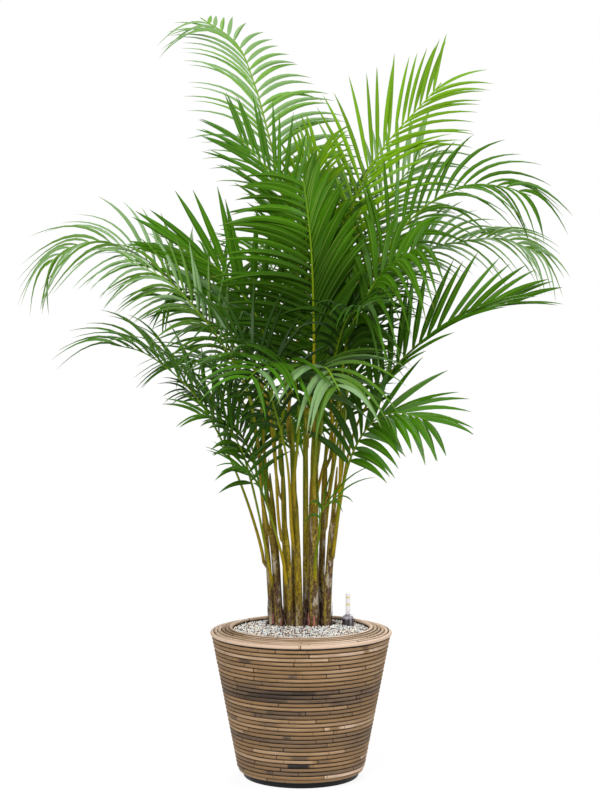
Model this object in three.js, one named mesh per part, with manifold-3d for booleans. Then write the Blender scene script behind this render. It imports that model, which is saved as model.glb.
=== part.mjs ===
// A clump of areca palm in a round rattan planter, with an inset liner, gravel and a water gauge.
// Millimetres, +Z up. The origin is the centre of the planter's underside, and -Y is the front.
import * as THREE from 'three';
import { mergeVertices } from 'three/addons/utils/BufferGeometryUtils.js';
import Module from 'manifold-3d';

const wasm = await Module();
wasm.setup();

// ---- Driving dimensions -------------------------------------------------------------------

const GAP = 0.4; // clearance between neighbouring pieces
const LEAF_GAP = 0.5; // clearance kept between leaflets
const STALK_STEPS = 5;
const ROUND = 30; // sides of every large round piece

// Planter: rattan poles laid in rings on a black tub, closed by a flat ring of poles on top.
const POLE_R = 4.8; // radius of one rattan pole
const GROOVE = 3.4; // how far the groove between two poles lies inside their crowns
const WALL_ROWS = 33;
const WALL_TOP_Z = 330;
const TOP_ROW = { r: 205.4, z: 325 }; // centre line of the highest wall pole
const LOW_ROW = { r: 146.6, z: 27 }; // centre line of the lowest pole on the straight wall
const FOOT_ROW = { r: 143, z: 19 }; // the last pole, drawn in under the wall
const TUB_FOOT_R = 134;
const TUB_WALL = 4;
const TUB_FLOOR = 6;
const RIM_ROWS = 6;
const RIM_OUTER = { r: 209.6, z: 336 }; // centre line of the rim's outermost pole
const RIM_STEP = { r: 8.6, z: 2.1 }; // each further pole lies this much inwards and higher
const RIM_INNER_R = RIM_OUTER.r - RIM_STEP.r * (RIM_ROWS - 1) - POLE_R;

// Inset liner, its root ball and the gravel.
const LINER = { topR: 160.6, bottomR: 127, wall: 2.6, topZ: 338, bottomZ: TUB_FLOOR + GAP };
const SOIL_Z = 322;
const GRAVEL_EDGE_Z = 341.5;
const GRAVEL_INNER_Z = 350;
const CROWN = { x: 0, y: 70, rx: 85, ry: 75, z: 355 }; // the rooted crown that the gravel leaves bare
const CANE_FOOT_Z = 300;

// Water gauge.
const GAUGE = { x: 112, y: 50, capR: 14, footZ: 328, bandZ: 361, domeZ: 370, tubeR: 5.1, topZ: 420 };
const FLOAT = { r: 2.6, low: 371.5, high: 377 };

// Leaves.
const STRAIGHT_PITCH = 25; // spacing of the straight, stiff leaflets along one side of a rachis
const ARCHED_PITCH = 30; // spacing of the leaflets that arch over
const ARCHED_SAG = 0.28; // a frond whose leaflets sag by more than this share of their length arches them
const KEEL = 2; // thickness of an arched leaflet at its fold
const SPREAD = [60, 30]; // the usual angles of the leaflets with the rachis, at its foot and at its tip
const WIDEST = 0.4; // where along its length an arched leaflet has its full width
const FULLNESS = 0.8; // that width as a share of the leaflet's room on the rachis
const STALK_R = 5; // half width of a stalk just above its foot
const STALK_FOOT_R = 2; // half width where it parts from its cane
const STALK_TIP_R = 1.4;
const HUG = 60; // length over which a stalk lies against its cane

// Each cane: where it stands, its radius there, and where its top is.
const CANES = [
  { at: [-66, 60], r: 8, top: [-92, 25, 640] },
  { at: [-50, 28], r: 10, top: [-72, -20, 620] },
  { at: [-34, 70], r: 8, top: [-45, 40, 760] },
  { at: [-22, 18], r: 9, top: [-36, -38, 600] },
  { at: [-2, 10], r: 10, top: [-18, -46, 720] },
  { at: [12, 70], r: 8, top: [10, 35, 900] },
  { at: [30, 22], r: 12, top: [32, -25, 860] },
  { at: [58, 36], r: 11, top: [78, -10, 640] },
  { at: [46, 82], r: 9, top: [60, 55, 780] },
  { at: [-14, 110], r: 9, top: [-20, 95, 820] },
  { at: [-48, 100], r: 8, top: [-75, 90, 700] },
  { at: [20, 120], r: 9, top: [30, 110, 760] },
  { at: [58, 62], r: 7, top: [86, 34, 720] },
];

// Each frond: its cane (counted from 1), the height where its stalk leaves the cane, the points its
// rachis then passes, the share of its length that is bare stalk, its longest leaflet, how far its
// upper face is turned from the sky to the front and how far its leaflets rise out of that face, both
// in degrees, the tone of its green, how far its leaflets sag at last as a share of their length, the
// angle that they make with the rachis at its foot and at its tip, how much less of it the
// right-hand ones make than the left-hand ones, halved, and the share of their length that the
// right-hand ones keep at the rachis's tip.
const FRONDS = [
  // the tall ones at the top
  {
    cane: 10, join: 760, bare: 0.42, turn: 75, vee: 12, tone: 'pale',
    blade: 215, sag: 0.7, spread: [54, 42], skew: -22, tip: 0.2,
    via: [
      [5, 110, 1250], [-70, 130, 1493], [-114, 150, 1652],
      [-158, 150, 1752], [-245, 135, 1812],
    ],
  },
  {
    cane: 3, join: 700, bare: 0.6, turn: 70, vee: 18, tone: 'fresh',
    blade: 200, sag: 0.15, spread: [40, 20],
    via: [[-10, 15, 1265], [-62, 0, 1400], [-150, -10, 1512]],
  },
  {
    cane: 7, join: 800, bare: 0.2, turn: 85, vee: 12, tone: 'green',
    blade: 235, sag: 0.3, spread: [52, 40], skew: 20,
    via: [[30, -50, 1055], [22, -72, 1260], [5, -60, 1405]],
  },
  {
    cane: 9, join: 720, bare: 0.4, turn: 80, vee: 12, tone: 'bright',
    blade: 230, sag: 0.3, spread: [50, 24], skew: 4,
    via: [[70, 80, 1125], [160, 70, 1430], [335, 40, 1640]],
  },
  // the right side
  {
    cane: 9, join: 640, bare: 0.34, turn: 48, vee: 20, tone: 'green',
    blade: 205, sag: 0.75, spread: [52, 22],
    via: [[120, 20, 1055], [235, 15, 1285], [376, 0, 1388], [480, -20, 1386], [540, -28, 1364]],
  },
  {
    cane: 13, join: 660, bare: 0.4, turn: 34, vee: 25, tone: 'pale',
    blade: 175, sag: 0.85, spread: [50, 20],
    via: [
      [130, 85, 1030], [225, 105, 1180], [300, 100, 1240],
      [400, 95, 1265], [490, 85, 1268], [580, 70, 1230],
    ],
  },
  {
    cane: 8, join: 590, bare: 0.5, turn: 40, vee: 20, tone: 'green',
    blade: 185, sag: 1, spread: [65, 40],
    via: [[105, -40, 1020], [145, -80, 1112], [185, -110, 1178], [270, -150, 1236]],
  },
  {
    cane: 13, join: 560, bare: 0.38, turn: 34, vee: 36, tone: 'green',
    blade: 210, sag: 0.15, spread: [50, 18],
    via: [[130, 0, 820], [210, -30, 950], [320, -55, 1052], [425, -80, 1098], [505, -90, 1112]],
  },
  {
    cane: 8, join: 500, bare: 0.46, turn: 38, vee: 8, tone: 'fresh',
    blade: 185, sag: 0.45, spread: [66, 22],
    via: [[95, -40, 665], [120, -80, 765], [165, -120, 838], [215, -165, 862], [285, -215, 848]],
  },
  // the front
  {
    cane: 7, join: 640, bare: 0.5, turn: 20, vee: 15, tone: 'pale',
    blade: 195, sag: 0.65, spread: [80, 45],
    via: [[38, -60, 845], [30, -120, 950], [55, -190, 965], [85, -270, 915]],
  },
  {
    cane: 5, join: 620, bare: 0.52, turn: 20, vee: 15, tone: 'fresh',
    blade: 180, sag: 0.6, spread: [80, 50],
    via: [[-5, -85, 845], [-25, -140, 965], [-85, -220, 965], [-120, -280, 940]],
  },
  // the left side
  {
    cane: 1, join: 480, bare: 0.4, turn: 10, vee: 30, tone: 'green',
    blade: 235, sag: 0.7, spread: [50, 22],
    via: [[-150, 0, 705], [-230, -20, 869], [-288, -30, 938], [-372, -35, 998], [-445, -40, 1016]],
  },
  {
    cane: 2, join: 560, bare: 0.46, turn: 38, vee: 20, tone: 'pale',
    blade: 175, sag: 0.9, spread: [48, 22],
    via: [
      [-120, -25, 890], [-186, -50, 1020], [-246, -65, 1098],
      [-305, -80, 1160], [-408, -100, 1215],
    ],
  },
  {
    cane: 3, join: 640, bare: 0.42, turn: 34, vee: 22, tone: 'pale',
    blade: 195, sag: 0.95, spread: [48, 18],
    via: [
      [-100, 40, 935], [-237, 30, 1085], [-349, 20, 1203],
      [-456, 5, 1256], [-545, -10, 1243], [-600, -20, 1200],
    ],
  },
  {
    cane: 11, join: 620, bare: 0.52, turn: 70, vee: 15, tone: 'fresh',
    blade: 170, sag: 0.3, spread: [70, 38],
    via: [
      [-125, 90, 885], [-190, 110, 1040], [-235, 105, 1125],
      [-290, 90, 1150], [-340, 70, 1122],
    ],
  },
  {
    cane: 4, join: 540, bare: 0.55, turn: 80, vee: 15, tone: 'fresh',
    blade: 250, sag: 0.06, spread: [48, 10],
    via: [[-85, -10, 1030], [-135, -10, 1130], [-190, -15, 1190], [-285, -30, 1245]],
  },
  {
    cane: 2, join: 430, bare: 0.52, turn: 30, vee: 20, tone: 'green',
    blade: 145, sag: 0.4, spread: [66, 26],
    via: [[-118, -42, 700], [-146, -62, 785], [-188, -90, 840], [-240, -112, 858]],
  },
  {
    cane: 4, join: 440, bare: 0.62, turn: 20, vee: 15, tone: 'green',
    blade: 130, sag: 0.5, spread: [45, 22],
    via: [[-75, -75, 630], [-105, -100, 705], [-150, -125, 742]],
  },
  {
    cane: 7, join: 450, bare: 0.65, turn: 25, vee: 15, tone: 'green',
    blade: 150, sag: 0.4, spread: [60, 26],
    via: [[42, -60, 575], [48, -90, 632], [85, -120, 662]],
  },
  // the back and the fill
  {
    cane: 12, join: 700, bare: 0.42, turn: 60, vee: 15, tone: 'pale',
    blade: 215, sag: 0.4,
    via: [[95, 130, 1125], [190, 180, 1340], [310, 210, 1500]],
  },
  {
    cane: 5, join: 520, bare: 0.5, turn: 30, vee: 20, tone: 'dark',
    blade: 205, sag: 0.5, spread: [62, 32],
    via: [[-38, -100, 780], [-110, -150, 985], [-190, -200, 1060]],
  },
  {
    cane: 7, join: 730, bare: 0.42, turn: 25, vee: 20, tone: 'dark',
    blade: 175, sag: 0.55, spread: [62, 32],
    via: [[72, -65, 960], [105, -150, 1075], [140, -240, 1100]],
  },
  {
    cane: 6, join: 840, bare: 0.3, turn: 50, vee: 20, tone: 'bright',
    blade: 190, sag: 0.25, spread: [45, 22],
    via: [[14, 45, 1150], [15, 35, 1350], [45, 10, 1480]],
  },
  {
    cane: 11, join: 520, bare: 0.45, turn: 20, vee: 25, tone: 'dark',
    blade: 150, sag: 0.5, spread: [62, 30],
    via: [[-130, 100, 770], [-205, 110, 865], [-275, 100, 900]],
  },
  {
    cane: 12, join: 640, bare: 0.4, turn: 0, vee: 25, tone: 'green',
    blade: 215, sag: 0.55,
    via: [[40, 200, 950], [60, 320, 1120], [80, 490, 1150]],
  },
  {
    cane: 10, join: 700, bare: 0.4, turn: 0, vee: 25, tone: 'green',
    blade: 215, sag: 0.45,
    via: [[-40, 180, 1000], [-70, 310, 1200], [-110, 460, 1270]],
  },
  {
    cane: 11, join: 580, bare: 0.4, turn: 0, vee: 25, tone: 'green',
    blade: 205, sag: 0.6,
    via: [[-125, 180, 830], [-210, 290, 960], [-310, 410, 950]],
  },
  {
    cane: 12, join: 560, bare: 0.4, turn: 0, vee: 25, tone: 'green',
    blade: 185, sag: 0.6,
    via: [[75, 170, 800], [100, 290, 950], [115, 430, 1000]],
  },
  {
    cane: 9, join: 560, bare: 0.4, turn: 0, vee: 28, tone: 'green',
    blade: 195, sag: 0.5,
    via: [[110, 135, 880], [165, 230, 1080], [230, 350, 1190]],
  },
  {
    cane: 11, join: 660, bare: 0.42, turn: 0, vee: 28, tone: 'green',
    blade: 215, sag: 0.45,
    via: [[-115, 160, 980], [-210, 240, 1180], [-350, 310, 1240]],
  },
  {
    cane: 10, join: 560, bare: 0.42, turn: 0, vee: 20, tone: 'green',
    blade: 195, sag: 0.6,
    via: [[-20, 210, 740], [-30, 340, 850], [-50, 480, 800]],
  },
  {
    cane: 6, join: 760, bare: 0.42, turn: 0, vee: 25, tone: 'green',
    blade: 215, sag: 0.3,
    via: [[40, 95, 1080], [70, 190, 1300], [140, 270, 1420]],
  },
];

// ---- Materials ----------------------------------------------------------------------------

function paint(color, roughness, metalness = 0) {
  return new THREE.MeshStandardMaterial({ color, roughness, metalness });
}

const RATTAN = paint(0xa8866a, 0.6);
const BLACK_PLASTIC = paint(0x22211f, 0.55);
const SOIL = paint(0x2c2018, 0.95);
const STONES = paint(0xb9ada3, 0.85);
const GAUGE_GREY = paint(0x5a4f58, 0.35);
const GAUGE_CLEAR = paint(0xd8d6da, 0.15);
const GAUGE_RED = paint(0xb5301f, 0.5);
const CANE_SKIN = paint(0x6d5a2c, 0.6);
const LEAF = {
  bright: paint(0x6fa41c, 0.5),
  fresh: paint(0x4c8400, 0.5),
  green: paint(0x3f7418, 0.5),
  dark: paint(0x1f4a12, 0.45),
  pale: paint(0x7ba378, 0.45),
};

// ---- Solids -------------------------------------------------------------------------------

/** A closed mesh as a solid that can be joined and cut. */
function solid(geometry) {
  const bare = geometry.clone();
  bare.deleteAttribute('normal');
  bare.deleteAttribute('uv');
  const merged = mergeVertices(bare, 1e-3);
  return new wasm.Manifold(new wasm.Mesh({
    numProp: 3,
    vertProperties: new Float32Array(merged.attributes.position.array),
    triVerts: new Uint32Array(merged.index.array),
  }));
}

/** A joined or cut solid back as a geometry. */
function geometryOf(body) {
  const mesh = body.getMesh();
  return new THREE.BufferGeometry()
    .setAttribute('position', new THREE.BufferAttribute(new Float32Array(mesh.vertProperties), 3))
    .setIndex(new THREE.BufferAttribute(new Uint32Array(mesh.triVerts), 1));
}

/** A profile of [radius, height] points, listed anticlockwise, turned about Z. */
function turned(profile, sides = ROUND) {
  const points = profile.map(([r, z]) => new THREE.Vector2(r, z));
  return new THREE.LatheGeometry(points, sides).rotateX(Math.PI / 2);
}

const root = new THREE.Group();

function add(name, geometry, material, [x, y, z] = [0, 0, 0]) {
  const mesh = new THREE.Mesh(geometry, material);
  mesh.name = name;
  mesh.position.set(x, y, z);
  root.add(mesh);
}

const UP = new THREE.Vector3(0, 0, 1);
const mix = (a, b, t) => a + (b - a) * t;

// ---- Planter ------------------------------------------------------------------------------

/** Centre lines of the wall's poles, from the foot up. */
function wallRows() {
  const rows = [FOOT_ROW];
  for (let i = 0; i < WALL_ROWS - 1; i++) {
    const t = i / (WALL_ROWS - 2);
    rows.push({ r: mix(LOW_ROW.r, TOP_ROW.r, t), z: mix(LOW_ROW.z, TOP_ROW.z, t) });
  }
  return rows;
}

/** Radius of the wall's smooth inner face, which the tub fills. */
function wallInnerR(z) {
  const t = (z - LOW_ROW.z) / (TOP_ROW.z - LOW_ROW.z);
  return mix(LOW_ROW.r, TOP_ROW.r, t) - POLE_R;
}

function rattanWall() {
  const rows = wallRows();
  const footZ = FOOT_ROW.z - POLE_R;
  const profile = [[FOOT_ROW.r - POLE_R, footZ], [FOOT_ROW.r, footZ]];
  rows.forEach((row, i) => {
    profile.push([row.r + POLE_R, row.z]);
    if (i < rows.length - 1) {
      const next = rows[i + 1];
      profile.push([(row.r + next.r) / 2 + POLE_R - GROOVE, (row.z + next.z) / 2]);
    }
  });
  profile.push([TOP_ROW.r + 2, WALL_TOP_Z], [wallInnerR(WALL_TOP_Z), WALL_TOP_Z]);
  profile.push([wallInnerR(LOW_ROW.z), LOW_ROW.z], profile[0]);
  return turned(profile);
}

function tub() {
  const lipR = wallInnerR(WALL_TOP_Z) - GAP;
  const bendR = wallInnerR(LOW_ROW.z) - GAP;
  const footWallR = FOOT_ROW.r - POLE_R - GAP;
  return turned([
    [0, 0], [TUB_FOOT_R, 0], [TUB_FOOT_R + 2.5, 2.5], [footWallR, FOOT_ROW.z - POLE_R],
    [bendR, LOW_ROW.z], [lipR, WALL_TOP_Z], [lipR - TUB_WALL, WALL_TOP_Z],
    [bendR - TUB_WALL, LOW_ROW.z], [TUB_FOOT_R - TUB_WALL, TUB_FLOOR], [0, TUB_FLOOR],
  ]);
}

function rattanRim() {
  const underZ = WALL_TOP_Z + GAP;
  const outerR = RIM_OUTER.r + POLE_R;
  const profile = [[RIM_OUTER.r - 1, underZ], [outerR - 1, underZ + 2], [outerR, RIM_OUTER.z]];
  for (let i = 0; i < RIM_ROWS; i++) {
    const r = RIM_OUTER.r - RIM_STEP.r * i;
    const z = RIM_OUTER.z + RIM_STEP.z * i;
    profile.push([r, z + POLE_R]);
    if (i < RIM_ROWS - 1) profile.push([r - RIM_STEP.r / 2, z + RIM_STEP.z / 2 + POLE_R - GROOVE]);
  }
  profile.push([RIM_INNER_R, RIM_OUTER.z + RIM_STEP.z * (RIM_ROWS - 1)], [RIM_INNER_R, underZ], profile[0]);
  return turned(profile);
}

function liner() {
  const { topR, bottomR, wall, topZ, bottomZ } = LINER;
  return turned([
    [0, bottomZ], [bottomR, bottomZ], [topR, topZ], [topR - wall, topZ],
    [bottomR - wall, bottomZ + wall], [0, bottomZ + wall],
  ]);
}

/** Inner radius of the liner at a height. */
const linerInnerR = (z) => {
  const t = (z - LINER.bottomZ) / (LINER.topZ - LINER.bottomZ);
  return mix(LINER.bottomR, LINER.topR, t) - LINER.wall;
};

// ---- Canes --------------------------------------------------------------------------------

const CANE_SIDES = 6;
const CANE_STEPS = 5;
const CANE_TAPER = 0.72;
const CANE_NECK = 0.8; // where along its length a cane begins to narrow to the stalks that it ends in
const CANE_TIP = 0.4; // how much of its thickness is left there

/** The line along the middle of a cane, upright at its foot and leaning towards its top. */
function caneLine({ at: [x, y], top }) {
  const middle = [mix(x, top[0], 0.4), mix(y, top[1], 0.4), mix(CANE_FOOT_Z, top[2], 0.5)];
  return new THREE.CatmullRomCurve3([[x, y, CANE_FOOT_Z], middle, top].map((p) => new THREE.Vector3(...p)));
}

function caneRadius(cane, t) {
  const neck = Math.max(0, (t - CANE_NECK) / (1 - CANE_NECK));
  return cane.r * mix(1, CANE_TAPER, t) * mix(1, CANE_TIP, neck);
}

/** The point of a cane's middle line at a height, carried on past its top. */
function caneAt(cane, z) {
  const line = caneLine(cane);
  const t = (z - CANE_FOOT_Z) / (cane.top[2] - CANE_FOOT_Z);
  if (t <= 1) return line.getPoint(t);
  const end = line.getPoint(1);
  return end.add(line.getTangent(1).multiplyScalar(z - cane.top[2]));
}

// ---- Skins: closed meshes knitted ring by ring ----------------------------------------------

class Skin {
  constructor() {
    this.points = [];
    this.faces = [];
  }

  /** Adds points and returns their numbers, in order, as a ring or loop. */
  ring(points) {
    return points.map((p) => this.points.push(p) - 1);
  }

  quad(a, b, c, d) {
    this.faces.push([a, b, c], [a, c, d]);
  }

  /** Closes a loop with a fan of triangles that face the loop's own way. */
  cap(loop) {
    for (let i = 1; i < loop.length - 1; i++) this.faces.push([loop[0], loop[i], loop[i + 1]]);
  }

  /** Walls between a loop and the next one along. */
  wall(from, to, skip = []) {
    from.forEach((a, i) => {
      const j = (i + 1) % from.length;
      if (!skip.includes(i)) this.quad(a, from[j], to[j], to[i]);
    });
  }

  /** Draws a loop together in one point. */
  point(loop, tip) {
    loop.forEach((a, i) => this.faces.push([a, loop[(i + 1) % loop.length], tip]));
  }

  geometry() {
    const flat = this.points.flatMap((p) => [p.x, p.y, p.z]);
    return new THREE.BufferGeometry()
      .setAttribute('position', new THREE.BufferAttribute(new Float32Array(flat), 3))
      .setIndex(this.faces.flat());
  }
}

/** A cane as a tapering tube, grown wider all round by `extra`. */
function caneSkin(cane, extra = 0) {
  const line = caneLine(cane);
  const skin = new Skin();
  let last;
  for (let i = 0; i <= CANE_STEPS; i++) {
    const t = i / CANE_STEPS;
    const centre = line.getPoint(t);
    const r = caneRadius(cane, t) + extra;
    const loop = skin.ring(Array.from({ length: CANE_SIDES }, (_, k) => {
      const a = (k / CANE_SIDES) * Math.PI * 2;
      return new THREE.Vector3(centre.x + r * Math.cos(a), centre.y + r * Math.sin(a), centre.z);
    }));
    if (last) skin.wall(last, loop);
    else skin.cap([...loop].reverse());
    last = loop;
  }
  skin.point(last, ...skin.ring([line.getPoint(1).add(new THREE.Vector3(0, 0, cane.r))]));
  return skin.geometry();
}

// ---- Fronds -------------------------------------------------------------------------------

/** The middle line of a frond's stalk and rachis, from where it leaves its cane. */
function frondLine(frond) {
  const cane = CANES[frond.cane - 1];
  const foot = caneAt(cane, frond.join);
  const goal = new THREE.Vector3(...frond.via[Math.min(1, frond.via.length - 1)]);
  const out = goal.sub(foot).setZ(0).normalize();
  const t = Math.min(1, (frond.join - CANE_FOOT_Z) / (cane.top[2] - CANE_FOOT_Z));
  const stand = caneRadius(cane, t) + STALK_FOOT_R + 1;
  const start = foot.clone().addScaledVector(out, stand);
  const along = caneAt(cane, frond.join + HUG).addScaledVector(out, stand + HUG * 0.1);
  const passed = frond.via.map((p) => new THREE.Vector3(...p));
  return { out, curve: new THREE.CatmullRomCurve3([start, along, ...passed]) };
}

/** Where a frond is at the share u of its length, with its forward, upward and sideways directions. */
function frameAt(frond, line, u) {
  const at = line.curve.getPointAt(u);
  const forward = line.curve.getTangentAt(u);
  const turn = THREE.MathUtils.degToRad(frond.turn);
  const sky = new THREE.Vector3(0, -Math.sin(turn), Math.cos(turn));
  const inward = line.out.clone().negate();
  const face = inward.lerp(sky, THREE.MathUtils.smoothstep(u, 0.1, frond.bare + 0.05));
  const up = face.addScaledVector(forward, -face.dot(forward)).normalize();
  return { at, forward, up, side: forward.clone().cross(up) };
}

/** The three corners of a stalk's section: left, right and keel. */
function section({ at, up, side }, u) {
  const swell = THREE.MathUtils.smoothstep(u, 0, 0.09);
  const r = mix(STALK_R, STALK_TIP_R, Math.pow(u, 0.8)) - (STALK_R - STALK_FOOT_R) * (1 - swell);
  const corner = (s, h) => at.clone().addScaledVector(side, s * r).addScaledVector(up, h * r);
  return [corner(-1, 0.5), corner(1, 0.5), corner(0, -1)];
}

/** Where a frond's rings lie: a few along its bare stalk, then one at either end of every leaflet's root. */
function rings(frond, line) {
  const last = 0.97;
  const pitch = frond.sag > ARCHED_SAG ? ARCHED_PITCH : STRAIGHT_PITCH;
  const pairs = Math.max(3, Math.round((line.curve.getLength() * (last - frond.bare)) / pitch));
  const bare = Array.from({ length: STALK_STEPS }, (_, i) => (frond.bare * i) / STALK_STEPS);
  const leafy = Array.from({ length: pairs + 1 }, (_, i) => mix(frond.bare, last, i / pairs));
  return [...bare, ...leafy];
}

/** A leaflet's line and its directions along, across and over it. */
function leaflet(frond, line, [from, to], hand, { lift, size }) {
  const u = (from + to) / 2;
  const q = (u - frond.bare) / (1 - frond.bare);
  const frame = frameAt(frond, line, u);
  const { spread = SPREAD, skew = 0, tip = 1 } = frond;
  const angle = THREE.MathUtils.degToRad(mix(...spread, q) - hand * skew);
  const vee = THREE.MathUtils.degToRad(frond.vee + lift);
  const kept = hand > 0 ? mix(1, tip, q * q) : 1;
  const length = frond.blade * size * kept * (0.45 + 0.55 * Math.sin(Math.PI * mix(0.2, 0.92, q)));
  const sag = frond.sag * mix(0.55, 1, q);
  const aside = frame.side.clone().multiplyScalar(hand * Math.cos(vee));
  aside.addScaledVector(frame.up, Math.sin(vee));
  const way = frame.forward.clone().multiplyScalar(Math.cos(angle)).addScaledVector(aside, Math.sin(angle));
  const across = frame.forward.clone().addScaledVector(way, -frame.forward.dot(way)).normalize();
  const over = hand > 0 ? way.clone().cross(across) : across.clone().cross(way);
  const pull = way.clone().multiplyScalar(way.z).sub(UP);
  const at = (s) => frame.at.clone()
    .addScaledVector(way, length * s)
    .addScaledVector(pull, length * sag * s * s);
  const half = ((to - from) * line.curve.getLength() * Math.sin(angle) * FULLNESS) / 2;
  const centre = at(WIDEST);
  const trail = centre.clone().addScaledVector(across, -half);
  const lead = centre.clone().addScaledVector(across, half);
  const fold = centre.clone().addScaledVector(over, -KEEL);
  const arched = hand > 0 ? [trail, fold, lead] : [trail, lead, fold];
  const sections = [from, to].map((share) => section(frameAt(frond, line, share), share));
  const middle = frond.sag > ARCHED_SAG ? arched : null;
  return { hand, root: rootLoop(...sections, hand), middle, centre, tip: at(1) };
}

/** A loop with its corners moved away from its middle. */
function swollen(loop, margin) {
  const middle = loop.reduce((sum, p) => sum.add(p), new THREE.Vector3()).divideScalar(loop.length);
  return loop.map((p) => p.clone().add(p.clone().sub(middle).setLength(margin * 1.6)));
}

/** The loop round a leaflet's root, between two sections of the rachis. */
function rootLoop([left0, right0, keel0], [left1, right1, keel1], hand) {
  return hand > 0 ? [right0, keel0, keel1, right1] : [left0, left1, keel1, keel0];
}

/** Knits a leaflet from its root loop to its tip, by way of its widest loop if it arches. */
function knit(skin, root, middle, tip, hand) {
  if (!middle) {
    skin.point(root, tip);
    return;
  }
  const [a, b, c, d] = root;
  const [e, f, g] = middle;
  skin.quad(a, b, f, e);
  if (hand > 0) {
    skin.faces.push([b, c, f]);
    skin.quad(c, d, g, f);
    skin.quad(d, a, e, g);
  } else {
    skin.quad(b, c, g, f);
    skin.faces.push([c, d, g]);
    skin.quad(d, a, e, g);
  }
  skin.point(middle, tip);
}

/** A whole leaflet as a solid of its own, swollen by a margin. */
function wholeLeaflet(blade, margin) {
  const skin = new Skin();
  const swell = (loop) => skin.ring(margin ? swollen(loop, margin) : loop);
  const root = swell(blade.root);
  const middle = blade.middle && swell(blade.middle);
  skin.cap([...root].reverse());
  knit(skin, root, middle, ...skin.ring([blade.tip]), blade.hand);
  return solid(skin.geometry());
}

/** A leaflet without its root, which its neighbours on the same rachis have to keep clear of. */
function outerLeaflet(blade, margin) {
  const skin = new Skin();
  const near = blade.root.map((p) => p.clone().lerp(blade.middle ? blade.centre : blade.tip, 0.15));
  const loop = skin.ring(margin ? swollen(near, margin) : near);
  skin.cap([...loop].reverse());
  const middle = blade.middle && skin.ring(margin ? swollen(blade.middle, margin) : blade.middle);
  knit(skin, loop, middle, ...skin.ring([blade.tip]), blade.hand);
  return solid(skin.geometry());
}

/** Everything already in its place, as solids with their boxes, which later leaves keep clear of. */
const taken = [];

function take(owner, body, outer = body) {
  taken.push({ owner, body, outer, box: body.boundingBox() });
}

const boxesMeet = (a, b) => [0, 1, 2].every((k) => a.min[k] <= b.max[k] && b.min[k] <= a.max[k]);
const crosses = (a, b) => !a.intersect(b).isEmpty();

/** What a stalk would cross. */
function allMet(stalk) {
  const box = stalk.boundingBox();
  return taken.filter((other) => boxesMeet(other.box, box) && crosses(other.body, stalk));
}

/** Whether a leaflet is free of everything, its own frond's other leaflets included. */
function isClear(blade, owner) {
  const whole = wholeLeaflet(blade, 0);
  const outer = outerLeaflet(blade, 0);
  const box = whole.boundingBox();
  return !taken.some((other) => {
    if (!boxesMeet(other.box, box)) return false;
    if (other.owner !== owner) return crosses(other.body, whole);
    return other.outer !== other.body && crosses(other.outer, outer);
  });
}

/** A leaflet is lifted, lowered or shortened until it is clear of all the others, or left off. */
const TRIALS = [1, 0.8, 0.6].flatMap((size) => [0, 9, -9, 18, -18, 28, -28].map((lift) => ({ lift, size })));

function clearLeaflet(frond, line, span, hand, owner) {
  for (const trial of TRIALS) {
    const blade = leaflet(frond, line, span, hand, trial);
    if (isClear(blade, owner)) {
      take(owner, wholeLeaflet(blade, LEAF_GAP), outerLeaflet(blade, LEAF_GAP));
      return blade;
    }
  }
  return null;
}

/** A frond's bare stalk and rachis, to test its way and to keep leaves off it. */
function stalkSolid(frond, line, margin) {
  const skin = new Skin();
  let last;
  for (const u of rings(frond, line)) {
    const corners = section(frameAt(frond, line, u), u);
    const loop = skin.ring(margin ? swollen(corners, margin) : corners);
    if (last) skin.wall(last, loop);
    else skin.cap([...loop].reverse());
    last = loop;
  }
  skin.point(last, ...skin.ring([line.curve.getPointAt(1)]));
  return solid(skin.geometry());
}

const SIDE_WALLS = [{ hand: -1, wall: 2 }, { hand: 1, wall: 1 }];

/** A whole frond: its stalk, with every leaflet knitted to the rachis's side walls. */
function frondSkin(frond, line, owner) {
  const skin = new Skin();
  const shares = rings(frond, line);
  const loops = shares.map((u) => skin.ring(section(frameAt(frond, line, u), u)));
  skin.cap([...loops[0]].reverse());
  for (let i = 0; i < loops.length - 1; i++) {
    const root = [shares[i], shares[i + 1]];
    const grown = [];
    for (const { hand, wall } of i < STALK_STEPS ? [] : SIDE_WALLS) {
      const blade = clearLeaflet(frond, line, root, hand, owner);
      if (blade) {
        grown.push(wall);
        const middle = blade.middle && skin.ring(blade.middle);
        const [tip] = skin.ring([blade.tip]);
        knit(skin, rootLoop(loops[i], loops[i + 1], hand), middle, tip, hand);
      }
    }
    skin.wall(loops[i], loops[i + 1], grown);
  }
  skin.point(loops.at(-1), ...skin.ring([line.curve.getPointAt(1)]));
  return skin.geometry();
}

// ---- Soil, gravel and gauge -----------------------------------------------------------------

/** The bare crown of the root ball, an oval drum with its edge rounded off. */
function crownDrum(extra, fromZ, toZ) {
  const drum = turned([[0, fromZ], [1, fromZ], [1, toZ - 5], [0.86, toZ], [0, toZ]], 20);
  return drum.scale(CROWN.rx + extra, CROWN.ry + extra, 1).translate(CROWN.x, CROWN.y, 0);
}

const gaugeProfile = (extra) => [
  [0, GAUGE.footZ], [GAUGE.capR + extra, GAUGE.footZ], [GAUGE.capR + extra, GAUGE.bandZ],
  [GAUGE.capR * 0.82 + extra, GAUGE.bandZ + 5], [GAUGE.tubeR + 1 + extra, GAUGE.domeZ], [0, GAUGE.domeZ],
];

function gaugeCap(extra = 0) {
  return turned(gaugeProfile(extra), 16).translate(GAUGE.x, GAUGE.y, 0);
}

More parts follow.
